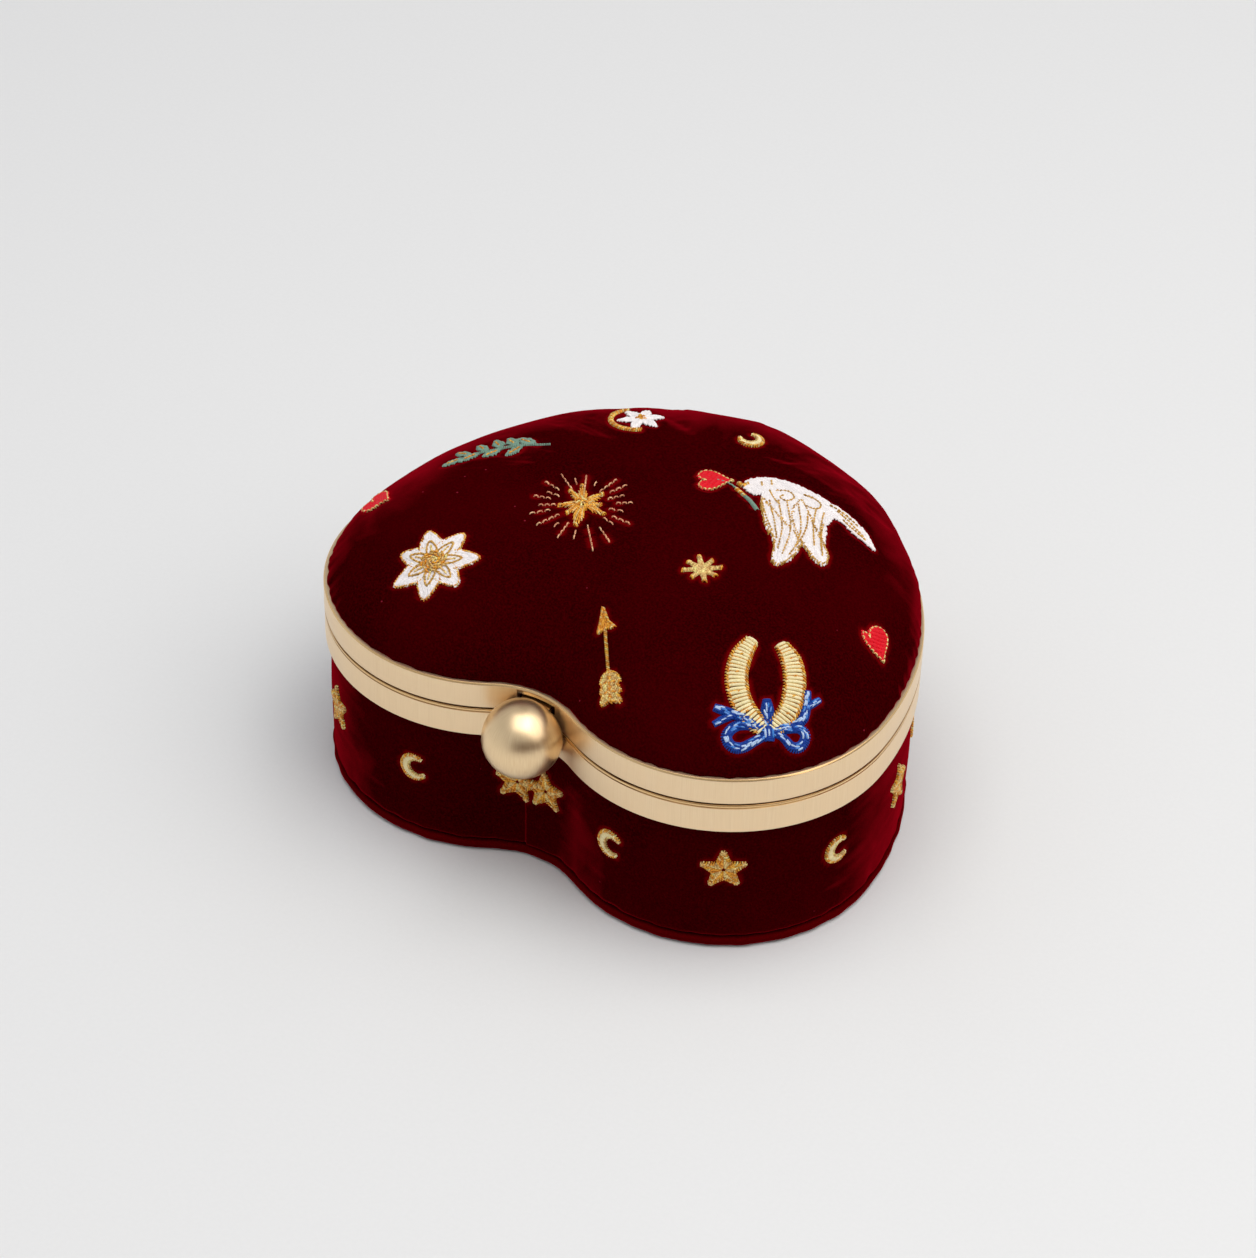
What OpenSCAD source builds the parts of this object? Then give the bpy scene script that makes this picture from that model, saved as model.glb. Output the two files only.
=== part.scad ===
// Heart-shaped velvet box with a padded lid, two brass frames, a rear hinge and a ball clasp.
// Front is -Y (the cleft and the ball), back is +Y (the tip and the hinge), the box rests on Z = 0.

/* [Heart outline] */
// Width over both lobes, across the brass frames
frame_w = 150; // [144:1:158]
// Radius of each lobe
lobe_r = 42.5; // [41:0.5:44]
// Radius of the cleft between the lobes
cleft_r = 22; // [20:0.5:24]
// Radius of the long sides
side_r = 84; // [80:1:96]
// Radius of the rounded tip
tip_r = 12; // [11.5:0.5:13]
// Distance from the line of the lobe centres back to the centre of the tip's round
tip_run = 71; // [68:1:73]

/* [Heights] */
// Height of the fabric side that shows below the lower frame
side_h = 37.8; // [32:0.2:48]
// Height of the lower frame's band
lower_band_h = 8.5; // [8.4:0.1:9.5]
// Height of the upper frame's band
upper_band_h = 7.4; // [7.2:0.1:8.5]
// Gap between the two frames when the lid is shut
seam_gap = 0.4; // [0.3:0.1:0.8]
// Rise of the padded dome above its springing line
dome_h = 21; // [16:1:30]
// Thickness of the fabric-wrapped bottom panel
panel_t = 3.2; // [3:0.2:4]

/* [Dome shape] */
// Exponent of the dome's profile: higher is flatter on top
dome_flat = 5.4; // [3:0.2:7]
// Exponent of the dome's edge: lower is steeper at the frame
dome_edge = 0.88; // [0.6:0.02:1]

/* [Clasp] */
// Radius of the ball
ball_r = 9.7; // [9:0.1:10]
// Distance from the frame's face in the cleft to the ball's centre
ball_reach = 6.8; // [6.4:0.1:7.2]
// Height of the ball's centre below the middle of the seam
ball_drop = 1.3; // [1:0.1:1.8]

/* [Hinge] */
// Outer radius of the hinge barrel
barrel_r = 2.3; // [2.1:0.1:2.5]
// Radius of the hinge pin
hinge_pin_r = 1; // [0.8:0.1:1.2]
// Half length of the hinge barrel
barrel_half = 8.7; // [8.2:0.1:9]

/* [Hidden] */
$fn = 48;
over = 1;            // how far a cutting solid runs past the face that it cuts
rub = 0.1;           // gap between layers that lie on each other

// frame section: a channel with an outer band, a web at the seam, an inner wall and a lip
band_t = 1;
web_t = 0.8;
lip_t = 0.6;
lip_d = 1.6;
frame_d = 6;
inner_t = 0.8;
inner_h = 6.2;
inner_in = frame_d - inner_t;

// layers of the base, as insets from the frame's outer face
panel_in = 1.4;
side_in = 1.8;
side_t = 0.8;
board_in = side_in + side_t + rub;
board_t = 1.7;
lining_in = board_in + board_t + rub;
lining_t = 0.6;
skin_t = 0.5;

// layers of the lid, as insets at the rim and as drops below the dome's outer surface
velvet_in = 1.7;
velvet_t = 0.7;
padding_in = velvet_in + velvet_t + rub;
padding_rim_t = 0.9;
padding_t = 4;
shell_in = padding_in + padding_rim_t + rub;
shell_t = 1.1;
lid_lining_in = shell_in + shell_t + rub;
lid_lining_t = 0.4;

// heights
lower_top = side_h + lower_band_h;
seam_z = lower_top + seam_gap / 2;
upper_bottom = lower_top + seam_gap;
upper_top = upper_bottom + upper_band_h;
dome_base = upper_top - 1;
rim_z = upper_bottom + 1.3;
side_z = panel_t + rub;
side_top = lower_top - web_t - 0.2;

// outline, seen from above, with the two lobe centres at [+-lobe_x, lobe_y]
lobe_x = frame_w / 2 - lobe_r;
cleft_run = -sqrt(pow(lobe_r + cleft_r, 2) - pow(lobe_x, 2));
hinge_off = barrel_r + 0.2;
front_run = min(cleft_run + cleft_r - ball_reach - ball_r, -lobe_r);
back_run = tip_run + tip_r + hinge_off + barrel_r;
lobe_y = -(front_run + back_run) / 2;
cleft_c = [0, lobe_y + cleft_run];
lobe_c = [lobe_x, lobe_y];
tip_c = [0, lobe_y + tip_run];
cleft_y = cleft_c.y + cleft_r;
tip_y = tip_c.y + tip_r;

// centre of the long side's arc, which touches the lobe and the tip's round from inside
tip_dist = norm(tip_c - lobe_c);
tip_dir = (tip_c - lobe_c) / tip_dist;
lobe_gap = side_r - lobe_r;
tip_gap = side_r - tip_r;
side_along = (pow(lobe_gap, 2) - pow(tip_gap, 2) + pow(tip_dist, 2)) / (2 * tip_dist);
side_across = sqrt(pow(lobe_gap, 2) - pow(side_along, 2));
side_c = lobe_c + tip_dir * side_along + [-tip_dir.y, tip_dir.x] * side_across;

// directions, in degrees, in which one arc hands over to the next
cleft_end = atan2(lobe_c.y - cleft_c.y, lobe_c.x - cleft_c.x);
lobe_end = atan2(lobe_c.y - side_c.y, lobe_c.x - side_c.x);
side_end = atan2(tip_c.y - side_c.y, tip_c.x - side_c.x);

// clasp: u is a distance inward from the frame's face at the bottom of the cleft
pivot_u = 2.7;
pivot_z = upper_bottom + 3.9;
catch_pin_r = 0.7;
lever_half = 4.2;
lug_in = 2.4;
lug_r = 1.5;
tongue_t = 1.6;
leg_u = 2.4;
leg_t = 1;
slot_u = 3.9;
slot_half = 4.7;
nose_u = 4.6;
keeper_t = 0.5;
keeper_top = lower_top - web_t - 0.05;
nose_top = keeper_top - keeper_t - 0.25;
leg_bottom = nose_top - 0.9;
window_half = 5.2;
ball_z = seam_z - ball_drop;
ball_c = [0, cleft_y - ball_reach, ball_z];
ball_gap = 0.7;
ball_flat_r = 3;
ball_rim = 29;
ball_steps = 30;
cheek_in = 5;
cheek_t = 0.8;
bracket_top = upper_bottom + web_t + 0.65;
small_rivet_r = 0.5;
small_head_r = 0.9;
keeper_rivet = [5.7, cleft_y + 2.4];
bracket_rivet = [6.8, cleft_y + 2.2];

// hinge
hinge_y = tip_y + hinge_off;
leaf_gap = 0.05;
leaf_t = 1;
leaf_clear = barrel_r + 0.4;
knuckle_half = 2.9;
knuckle_gap = 0.2;
rivet_r = 0.8;
tail_out = 0.65;      // how far the spread tail reaches behind the band, clear of its inner face
rivet_x = 6;
rivet_turn = acos((rivet_x - side_c.x) / side_r);
lower_rivet_z = seam_z - leaf_clear - 2.4;
upper_rivet_z = seam_z + leaf_clear + 2.1;

brass = [0.83, 0.74, 0.6];
steel = [0.7, 0.7, 0.72];
burgundy = [0.3, 0.02, 0.04];
satin = [0.45, 0.05, 0.09];
board = [0.55, 0.5, 0.43];
wadding = [0.93, 0.92, 0.9];

// ---------- outline and layers ----------

function arc(c, r, from, to, steps, first) =
    [for (i = [first : steps]) c + r * [cos(from + (to - from) * i / steps),
                                        sin(from + (to - from) * i / steps)]];

// right half of the heart, from the cleft round the lobe to the tip, set in by inset
function half_heart(inset) = concat(
    arc(cleft_c, cleft_r + inset, 90, cleft_end, 7, 0),
    arc(lobe_c, lobe_r - inset, cleft_end - 180, lobe_end, 22, 1),
    arc(side_c, side_r - inset, lobe_end, side_end, 14, 1),
    arc(tip_c, tip_r - inset, side_end, 90, 2, 1));

function heart(inset) =
    let (right = half_heart(inset), last = len(right) - 1)
    concat(right, [for (i = [last - 1 : -1 : 1]) [-right[i].x, right[i].y]]);

module plate(inset, z0, z1) {
    translate([0, 0, z0]) linear_extrude(z1 - z0) polygon(heart(inset));
}

module ring(inset_out, inset_in, z0, z1) {
    translate([0, 0, z0]) linear_extrude(z1 - z0) difference() {
        polygon(heart(inset_out));
        polygon(heart(inset_in));
    }
}

// a block centred on X = 0, from u0 to u1 behind the cleft's face
module cleft_block(half, u0, u1, z0, z1) {
    translate([-half, cleft_y + u0, z0]) cube([2 * half, u1 - u0, z1 - z0]);
}

module both_sides() {
    children();
    mirror([1, 0, 0]) children();
}

// ---------- dome ----------

dome_c = [0, lobe_y + 0.45 * tip_run];
dome_steps = [1, 0.985, 0.95, 0.89, 0.8, 0.66, 0.45, 0.2];
dome_n = len(heart(0));

function dome_z(s, drop) =
    dome_base + (dome_h - drop) * pow(1 - pow(s, dome_flat), dome_edge);

function dome_ring(inset, drop, s) =
    [for (p = heart(inset)) let (q = dome_c + (p - dome_c) * s) [q.x, q.y, dome_z(s, drop)]];

function rim_ring(inset) = [for (p = heart(inset)) [p.x, p.y, rim_z]];

function flatten(lists) = [for (l = lists) each l];

function skin_points(inset, drop) =
    concat(rim_ring(inset), flatten([for (s = dome_steps) dome_ring(inset, drop, s)]),
           [[dome_c.x, dome_c.y, dome_z(0, drop)]]);

function wrap(i) = (i + 1) % dome_n;

// triangles between two rings whose first points are at a and b, facing out where a is below b
function ring_faces(a, b) = flatten([for (i = [0 : dome_n - 1])
    [[a + i, b + i, b + wrap(i)], [a + i, b + wrap(i), a + wrap(i)]]]);

function fan_faces(a, apex) = [for (i = [0 : dome_n - 1]) [a + i, apex, a + wrap(i)]];

function flip(faces) = [for (f = faces) [f[2], f[1], f[0]]];

// a domed skin with a straight rim: outer surface at inset_out and drop_out, inner likewise
module dome_skin(inset_out, drop_out, inset_in, drop_in) {
    rows = len(dome_steps);
    outside = skin_points(inset_out, drop_out);
    inside = skin_points(inset_in, drop_in);
    shift = len(outside);
    skin = concat(flatten([for (k = [0 : rows - 1]) ring_faces(k * dome_n, (k + 1) * dome_n)]),
                  fan_faces(rows * dome_n, shift - 1));
    lining = flip([for (f = skin) f + [shift, shift, shift]]);
    polyhedron(concat(outside, inside), concat(skin, lining, ring_faces(shift, 0)));
}

// space that the clasp's bracket and lever need in the layers held by the upper frame
module lid_pocket() {
    cleft_block(8.2, -over, frame_d + 2, rim_z - over, dome_base - 0.1);
}

// space that the lever's hook needs in the layers held by the lower frame
module base_pocket() {
    cleft_block(6.9, -2, frame_d, leg_bottom - 0.5, lower_top);
}

// ---------- frames ----------

// z = 0 is the face at the seam, and z grows away from the seam
module frame_section(band_h) {
    difference() {
        ring(0, frame_d, 0, band_h);
        ring(band_t, inner_in, web_t, band_h - lip_t);
        ring(lip_d, frame_d + over, inner_h, band_h + over);
    }
}

// places its children on the frame's face on both sides of the tip, pointing outward from it
module at_hinge_rivets(z) {
    both_sides() translate([side_c.x, side_c.y, z]) rotate([0, 0, rivet_turn])
        translate([side_r, 0, 0]) rotate([0, 90, 0]) children();
}

module hinge_rivet_holes(z) {
    at_hinge_rivets(z) translate([0, 0, -band_t - 0.5])
        cylinder(h = band_t + leaf_t + 1.5, r = rivet_r + 0.02);
}

module at_pair(spot, z) {
    for (side = [-1, 1])
        translate([side * spot.x, spot.y, z]) children();
}

module lower_frame() {
    color(brass) difference() {
        translate([0, 0, lower_top]) mirror([0, 0, 1]) frame_section(lower_band_h);
        cleft_block(slot_half, band_t + 0.15, slot_u, lower_top - web_t - over, lower_top + over);
        at_pair(keeper_rivet, lower_top - web_t - over)
            cylinder(h = web_t + 2 * over, r = small_rivet_r + 0.02);
        hinge_rivet_holes(lower_rivet_z);
    }
}

module upper_frame() {
    color(brass) difference() {
        translate([0, 0, upper_bottom]) frame_section(upper_band_h);
        cleft_block(slot_half, band_t + 0.15, slot_u, upper_bottom - over, upper_bottom + web_t + over);
        cleft_block(window_half, -2, band_t + 0.5, pivot_z - 1.4, pivot_z + 2);
        at_pair(bracket_rivet, upper_bottom - over)
            cylinder(h = web_t + 2 * over, r = small_rivet_r + 0.02);
        hinge_rivet_holes(upper_rivet_z);
    }
}

// ---------- base ----------

module base_panel() {
    color(burgundy) difference() {
        plate(panel_in, 0, panel_t);
        plate(panel_in + skin_t, skin_t, panel_t - skin_t);
        plate(panel_in + 9, panel_t / 2, panel_t + over);
    }
}

module base_board() {
    color(board) plate(panel_in + skin_t + rub / 2, skin_t + rub / 2, panel_t - skin_t - rub / 2);
}

module base_wall() {
    color(board) difference() {
        ring(board_in, board_in + board_t, side_z, side_top);
        base_pocket();
    }
}

module base_velvet() {
    color(burgundy) difference() {
        ring(side_in, side_in + side_t, side_z, side_top);
        base_pocket();
    }
}

module base_lining() {
    color(satin) difference() {
        plate(lining_in, side_z, side_top);
        plate(lining_in + lining_t, side_z + lining_t, side_top + over);
        base_pocket();
    }
}

module base_cushion() {
    cushion_z = side_z + lining_t + rub;
    color(satin) {
        plate(frame_d + 0.4, cushion_z, cushion_z + 3.4);
        plate(frame_d + 1.4, cushion_z + 3.4, cushion_z + 4.8);
    }
}

// ---------- lid ----------

module lid_velvet() {
    color(burgundy) difference() {
        dome_skin(velvet_in, 0, velvet_in + velvet_t, velvet_t);
        lid_pocket();
    }
}

module lid_padding() {
    color(wadding) difference() {
        dome_skin(padding_in, velvet_t + rub, padding_in + padding_rim_t, velvet_t + rub + padding_t);
        lid_pocket();
    }
}

module lid_shell() {
    drop = velvet_t + padding_t + 2 * rub;
    color(board) difference() {
        dome_skin(shell_in, drop, shell_in + shell_t, drop + shell_t);
        lid_pocket();
    }
}

module lid_lining() {
    drop = velvet_t + padding_t + shell_t + 3 * rub;
    color(satin) difference() {
        dome_skin(lid_lining_in, drop, lid_lining_in + lid_lining_t, drop + lid_lining_t);
        lid_pocket();
    }
}

// ---------- hinge ----------

module hinge_bar(x0, x1, r) {
    translate([x0, hinge_y, seam_z]) rotate([0, 90, 0]) cylinder(h = x1 - x0, r = r);
}

// the strip that follows the tip's round outside the frame
module leaf_strip(z0, z1) {
    intersection() {
        ring(-leaf_gap - leaf_t, -leaf_gap, z0, z1);
        translate([-barrel_half, tip_c.y, z0 - over]) cube([2 * barrel_half, 2 * tip_r, z1 - z0 + 2 * over]);
    }
}

// joins a knuckle to its strip: a block from the strip to the barrel's axis, clear of the frame
module knuckle_web(x0, x1, z0, z1) {
    difference() {
        translate([x0, hinge_y - 6, z0]) cube([x1 - x0, 6, z1 - z0]);
        plate(-leaf_gap, z0 - over, z1 + over);
    }
}

module hinge_leaf_lower() {
    knuckle_in = knuckle_half + knuckle_gap;
    color(brass) difference() {
        union() {
            leaf_strip(lower_rivet_z - 2.2, seam_z - leaf_clear);
            both_sides() {
                hinge_bar(knuckle_in, barrel_half, barrel_r);
                knuckle_web(knuckle_in, barrel_half, seam_z - leaf_clear - 1, seam_z);
            }
        }
        hinge_bar(-barrel_half - over, barrel_half + over, hinge_pin_r + 0.02);
        hinge_rivet_holes(lower_rivet_z);
    }
}

module hinge_leaf_upper() {
    color(brass) difference() {
        union() {
            leaf_strip(seam_z + leaf_clear, upper_rivet_z + 2);
            hinge_bar(-knuckle_half, knuckle_half, barrel_r);
            knuckle_web(-knuckle_half, knuckle_half, seam_z, seam_z + leaf_clear + 1);
        }
        hinge_bar(-barrel_half, barrel_half, hinge_pin_r + 0.06);
        hinge_rivet_holes(upper_rivet_z);
    }
}

module hinge_pin() {
    color(steel) {
        hinge_bar(-barrel_half - 0.1, barrel_half + 0.1, hinge_pin_r);
        both_sides() hinge_bar(barrel_half + 0.05, barrel_half + 0.55, hinge_pin_r + 0.6);
    }
}

// shank through leaf and band, with a low head outside and a spread tail inside
module hinge_rivets(z) {
    outer = leaf_gap + leaf_t;
    color(brass) at_hinge_rivets(z) {
        translate([0, 0, -band_t - tail_out]) cylinder(h = 0.45, r = rivet_r + 0.4);
        translate([0, 0, -band_t - tail_out]) cylinder(h = outer + band_t + tail_out + 0.4, r = rivet_r);
        translate([0, 0, outer + 0.05]) cylinder(h = 0.5, r = rivet_r + 0.5);
    }
}

module hinge_rivets_lower() {
    hinge_rivets(lower_rivet_z);
}

module hinge_rivets_upper() {
    hinge_rivets(upper_rivet_z);
}

// ---------- clasp ----------

module catch_bar(half, r) {
    translate([-half, cleft_y + pivot_u, pivot_z]) rotate([0, 90, 0]) cylinder(h = 2 * half, r = r);
}

// a flat piece that fills the frame's channel round the cleft, with the slot for the hook
module channel_plate(half, z0, z1) {
    difference() {
        intersection() {
            ring(band_t + 0.1, inner_in - 0.1, z0, z1);
            cleft_block(half, -over, frame_d, z0 - over, z1 + over);
        }
        cleft_block(slot_half, -over, slot_u, z0 - over, z1 + over);
    }
}

module keeper() {
    color(steel) difference() {
        channel_plate(6.6, keeper_top - keeper_t, keeper_top);
        at_pair(keeper_rivet, keeper_top - keeper_t - over)
            cylinder(h = keeper_t + 2 * over, r = small_rivet_r + 0.02);
    }
}

module keeper_rivets() {
    head_z = keeper_top - keeper_t - 0.05;
    color(steel) at_pair(keeper_rivet, head_z) {
        translate([0, 0, -0.5]) cylinder(h = 0.5, r = small_head_r);
        translate([0, 0, -0.1]) cylinder(h = lower_top - 0.02 - head_z + 0.1, r = small_rivet_r);
    }
}

module catch_bracket() {
    plate_z = upper_bottom + web_t + 0.05;
    color(steel) difference() {
        union() {
            channel_plate(7.8, plate_z, bracket_top);
            both_sides() translate([cheek_in, cleft_y + pivot_u - 1.4, plate_z])
                cube([cheek_t, 2.8, pivot_z - plate_z]);
            both_sides() translate([cheek_in, cleft_y + pivot_u, pivot_z])
                rotate([0, 90, 0]) cylinder(h = cheek_t, r = 1.4);
        }
        catch_bar(cheek_in + cheek_t + over, catch_pin_r + 0.02);
        at_pair(bracket_rivet, plate_z - over)
            cylinder(h = 3, r = small_rivet_r + 0.02);
    }
}

module bracket_rivets() {
    color(steel) at_pair(bracket_rivet, bracket_top + 0.05) {
        cylinder(h = 0.5, r = small_head_r);
        translate([0, 0, upper_bottom + 0.02 - bracket_top - 0.05])
            cylinder(h = bracket_top + 0.1 - upper_bottom, r = small_rivet_r);
    }
}

module catch_pivot_pin() {
    color(steel) catch_bar(cheek_in + cheek_t + 0.2, catch_pin_r);
}

module catch_spring() {
    color(steel) difference() {
        catch_bar(lug_in - 0.3, lug_r - 0.1);
        catch_bar(lug_in, catch_pin_r + 0.3);
    }
}

module catch_lever() {
    color(brass) difference() {
        union() {
            cleft_block(lever_half, -ball_reach, 1.15, pivot_z - tongue_t / 2, pivot_z + tongue_t / 2);
            both_sides() translate([lug_in, 0, 0]) {
                translate([0, cleft_y + 1, pivot_z - tongue_t / 2])
                    cube([lever_half - lug_in, pivot_u - 1, tongue_t]);
                translate([0, cleft_y + pivot_u, pivot_z])
                    rotate([0, 90, 0]) cylinder(h = lever_half - lug_in, r = lug_r);
                translate([0, cleft_y + leg_u, pivot_z - lug_r - 1])
                    cube([lever_half - lug_in, leg_t, lug_r + 1]);
            }
            cleft_block(lever_half, leg_u, leg_u + leg_t, leg_bottom, pivot_z - lug_r - 0.15);
            cleft_block(lever_half, leg_u, nose_u, leg_bottom, nose_top);
        }
        catch_bar(lever_half + over, catch_pin_r + 0.05);
    }
}

// profile of the ball, turned about the line from front to back: a sphere whose back is
// cut to a blunt cone, so that it clears the frames on both sides of the cleft
function ball_profile() = concat(
    [[0, ball_reach - ball_gap]],
    [for (i = [0 : ball_steps]) let (turn = -90 + (ball_rim + 90) * i / ball_steps)
        ball_r * [cos(turn), sin(turn)]],
    [[ball_flat_r, ball_reach - ball_gap]]);

module clasp_ball() {
    color(brass) difference() {
        translate(ball_c) rotate([-90, 0, 0]) rotate_extrude($fn = 96) polygon(ball_profile());
        cleft_block(lever_half + 0.05, -ball_reach - 0.05, over,
                    pivot_z - tongue_t / 2 - 0.05, pivot_z + tongue_t / 2 + 0.05);
        translate([0, cleft_y - ball_reach + 1.8, ball_z - ball_r - over])
            cylinder(h = pivot_z - ball_z + ball_r + over, r = 1.1);
    }
}

module ball_screw() {
    screw_top = pivot_z - tongue_t / 2 - 0.03;
    color(steel) translate([0, cleft_y - ball_reach + 1.8, screw_top - 6]) difference() {
        cylinder(h = 6, r = 1.05);
        translate([0, 0, -over]) cylinder(h = over + 1.2, r = 0.6, $fn = 6);
    }
}

base_panel();
base_board();
base_wall();
base_velvet();
base_lining();
base_cushion();
lower_frame();
keeper();
keeper_rivets();
hinge_leaf_lower();
hinge_rivets_lower();
hinge_pin();
lid_shell();
lid_padding();
lid_velvet();
lid_lining();
upper_frame();
hinge_leaf_upper();
hinge_rivets_upper();
catch_bracket();
bracket_rivets();
catch_pivot_pin();
catch_spring();
catch_lever();
clasp_ball();
ball_screw();
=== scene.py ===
"""Looks for a heart-shaped velvet box: padded embroidered lid, brushed brass bands, ball clasp."""

import math
import random
from collections import namedtuple

import bmesh
import bpy
import numpy as np
from mathutils import Matrix, Vector
from mathutils.bvhtree import BVHTree
from mathutils.kdtree import KDTree


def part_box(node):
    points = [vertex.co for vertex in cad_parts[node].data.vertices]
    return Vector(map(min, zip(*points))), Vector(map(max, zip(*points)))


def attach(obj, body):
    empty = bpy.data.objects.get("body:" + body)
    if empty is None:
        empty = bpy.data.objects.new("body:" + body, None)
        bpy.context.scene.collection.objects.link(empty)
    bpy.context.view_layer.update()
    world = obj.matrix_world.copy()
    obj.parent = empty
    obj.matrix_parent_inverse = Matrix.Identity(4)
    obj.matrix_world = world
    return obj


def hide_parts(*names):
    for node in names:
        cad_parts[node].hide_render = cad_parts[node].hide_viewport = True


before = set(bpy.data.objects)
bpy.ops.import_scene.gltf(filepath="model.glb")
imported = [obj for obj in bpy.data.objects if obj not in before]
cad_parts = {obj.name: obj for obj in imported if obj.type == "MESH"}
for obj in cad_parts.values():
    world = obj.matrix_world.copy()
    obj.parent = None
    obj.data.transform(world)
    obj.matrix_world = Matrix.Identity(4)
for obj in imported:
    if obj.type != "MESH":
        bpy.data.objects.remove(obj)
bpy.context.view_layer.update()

# ---------- sizes, in millimetres, in the row frame ----------

FRAME_W = 150.0
LOBE_R = 42.5
CLEFT_R = 22.0
SIDE_R = 84.0
TIP_R = 12.0
TIP_RUN = 71.0


def mm_box(node):
    """Lowest and highest corner of a CAD node, in millimetres."""
    low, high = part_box(node)
    return [1000 * v for v in low], [1000 * v for v in high]


LOWER_LOW, LOWER_HIGH = mm_box("lower_frame")
UPPER_LOW, UPPER_HIGH = mm_box("upper_frame")
BAND_LOW = LOWER_LOW[2]
LOWER_TOP = LOWER_HIGH[2]
UPPER_BOTTOM = UPPER_LOW[2]
UPPER_TOP = UPPER_HIGH[2]
DOME_BASE = UPPER_TOP - 1
DOME_TOP = mm_box("lid_velvet")[1][2]
DOME_H = DOME_TOP - DOME_BASE
DOME_FLAT = 5.4
DOME_EDGE = 0.88
RIM_Z = UPPER_BOTTOM + 1.3

LOBE_X = FRAME_W / 2 - LOBE_R
TIP_Y = LOWER_HIGH[1] - TIP_R
LOBE_Y = TIP_Y - TIP_RUN
CLEFT_Y = LOBE_Y - math.sqrt((LOBE_R + CLEFT_R) ** 2 - LOBE_X**2)
CLEFT_FACE = CLEFT_Y + CLEFT_R
DOME_CENTRE = np.array([0, LOBE_Y + 0.45 * TIP_RUN])

BALL_R = 9.7
BALL_OUT = 6.8
BALL_Z = (LOWER_TOP + UPPER_BOTTOM) / 2 - 1.3
PIVOT_IN = 2.7
PIVOT_Z = UPPER_BOTTOM + 3.9

# ---------- small tools ----------


def colour(hex_code):
    """An sRGB hex value as linear RGBA."""
    parts = [int(hex_code[i : i + 2], 16) / 255 for i in (1, 3, 5)]
    return tuple(c / 12.92 if c <= 0.04045 else ((c + 0.055) / 1.055) ** 2.4 for c in parts) + (1.0,)


def add(tree, kind, inputs=None, **settings):
    """Adds a node. An input is a plain value, or the socket that feeds it."""
    node = tree.nodes.new(kind)
    for key, value in settings.items():
        setattr(node, key, value)
    for key, value in (inputs or {}).items():
        if isinstance(value, bpy.types.NodeSocket):
            tree.links.new(value, node.inputs[key])
        else:
            node.inputs[key].default_value = value
    return node


def new_object(name, mesh, materials=()):
    piece = bpy.data.objects.new(name, mesh)
    bpy.context.scene.collection.objects.link(piece)
    for material in materials:
        mesh.materials.append(material)
    return piece


def finished(piece):
    """The piece with its modifiers applied, as a plain mesh."""
    graph = bpy.context.evaluated_depsgraph_get()
    evaluated = piece.evaluated_get(graph)
    mesh = bpy.data.meshes.new_from_object(evaluated, preserve_all_data_layers=True, depsgraph=graph)
    piece.modifiers.clear()
    piece.data = mesh
    return piece


def stand_for(piece, node, body):
    """The piece rides a body in place of a CAD node."""
    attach(piece, body)
    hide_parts(node)


def shaded_smooth(piece):
    piece.data.polygons.foreach_set("use_smooth", np.ones(len(piece.data.polygons), bool))


def unit(vectors):
    """Rows turned to unit length."""
    return vectors / (np.linalg.norm(vectors, axis=1, keepdims=True) + 1e-9)


def smoothstep(low, high, values):
    t = np.clip((np.asarray(values, float) - low) / (high - low), 0, 1)
    return t * t * (3 - 2 * t)


# ---------- the heart outline ----------


def heart_arcs():
    """The outline as (centre, radius, from, to, outward sign), anticlockwise from the tip."""
    cleft = np.array([0, CLEFT_Y])
    lobe = np.array([LOBE_X, LOBE_Y])
    tip = np.array([0, TIP_Y])
    reach = np.linalg.norm(tip - lobe)
    ahead = (tip - lobe) / reach
    lobe_gap = SIDE_R - LOBE_R
    tip_gap = SIDE_R - TIP_R
    along = (lobe_gap**2 - tip_gap**2 + reach**2) / (2 * reach)
    across = math.sqrt(lobe_gap**2 - along**2)
    side = lobe + ahead * along + np.array([-ahead[1], ahead[0]]) * across
    cleft_end = math.atan2(lobe[1] - cleft[1], lobe[0] - cleft[0])
    lobe_end = math.atan2(lobe[1] - side[1], lobe[0] - side[0])
    side_end = math.atan2(tip[1] - side[1], tip[0] - side[0])
    right = [
        (cleft, CLEFT_R, math.pi / 2, cleft_end, -1),
        (lobe, LOBE_R, cleft_end - math.pi, lobe_end, 1),
        (side, SIDE_R, lobe_end, side_end, 1),
        (tip, TIP_R, side_end, math.pi / 2, 1),
    ]
    mirror = np.array([-1, 1])
    left = [(c * mirror, r, math.pi - b, math.pi - a, s) for c, r, a, b, s in reversed(right)]
    return left + right


ARCS = heart_arcs()
ARC_ENDS = np.cumsum([r * abs(b - a) for _, r, a, b, _ in ARCS])
HEART_RUN = float(ARC_ENDS[-1])


def heart_at(runs):
    """Points of the outline and their outward directions, at lengths along it from the tip."""
    runs = np.mod(np.asarray(runs, float), HEART_RUN)
    which = np.searchsorted(ARC_ENDS, runs, side="right").clip(0, len(ARCS) - 1)
    points = np.zeros((len(runs), 2))
    outward = np.zeros((len(runs), 2))
    for i, (centre, radius, start, end, sign) in enumerate(ARCS):
        mine = which == i
        share = (runs[mine] - (ARC_ENDS[i] - radius * abs(end - start))) / (radius * abs(end - start))
        angle = start + (end - start) * share
        ray = np.stack([np.cos(angle), np.sin(angle)], 1)
        points[mine] = centre + radius * ray
        outward[mine] = sign * ray
    return points, outward


def spaced_runs(step, fine_at=None, fine_step=0.2, fine_reach=2.4):
    """Even lengths round the outline, closer together near one place if asked."""
    runs = np.linspace(0, HEART_RUN, round(HEART_RUN / step), endpoint=False)
    if fine_at is None:
        return runs
    near = np.arange(fine_at - fine_reach, fine_at + fine_reach, fine_step)
    return np.sort(np.concatenate([runs[np.abs(runs - fine_at) > fine_reach + 0.1], near]))


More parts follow.
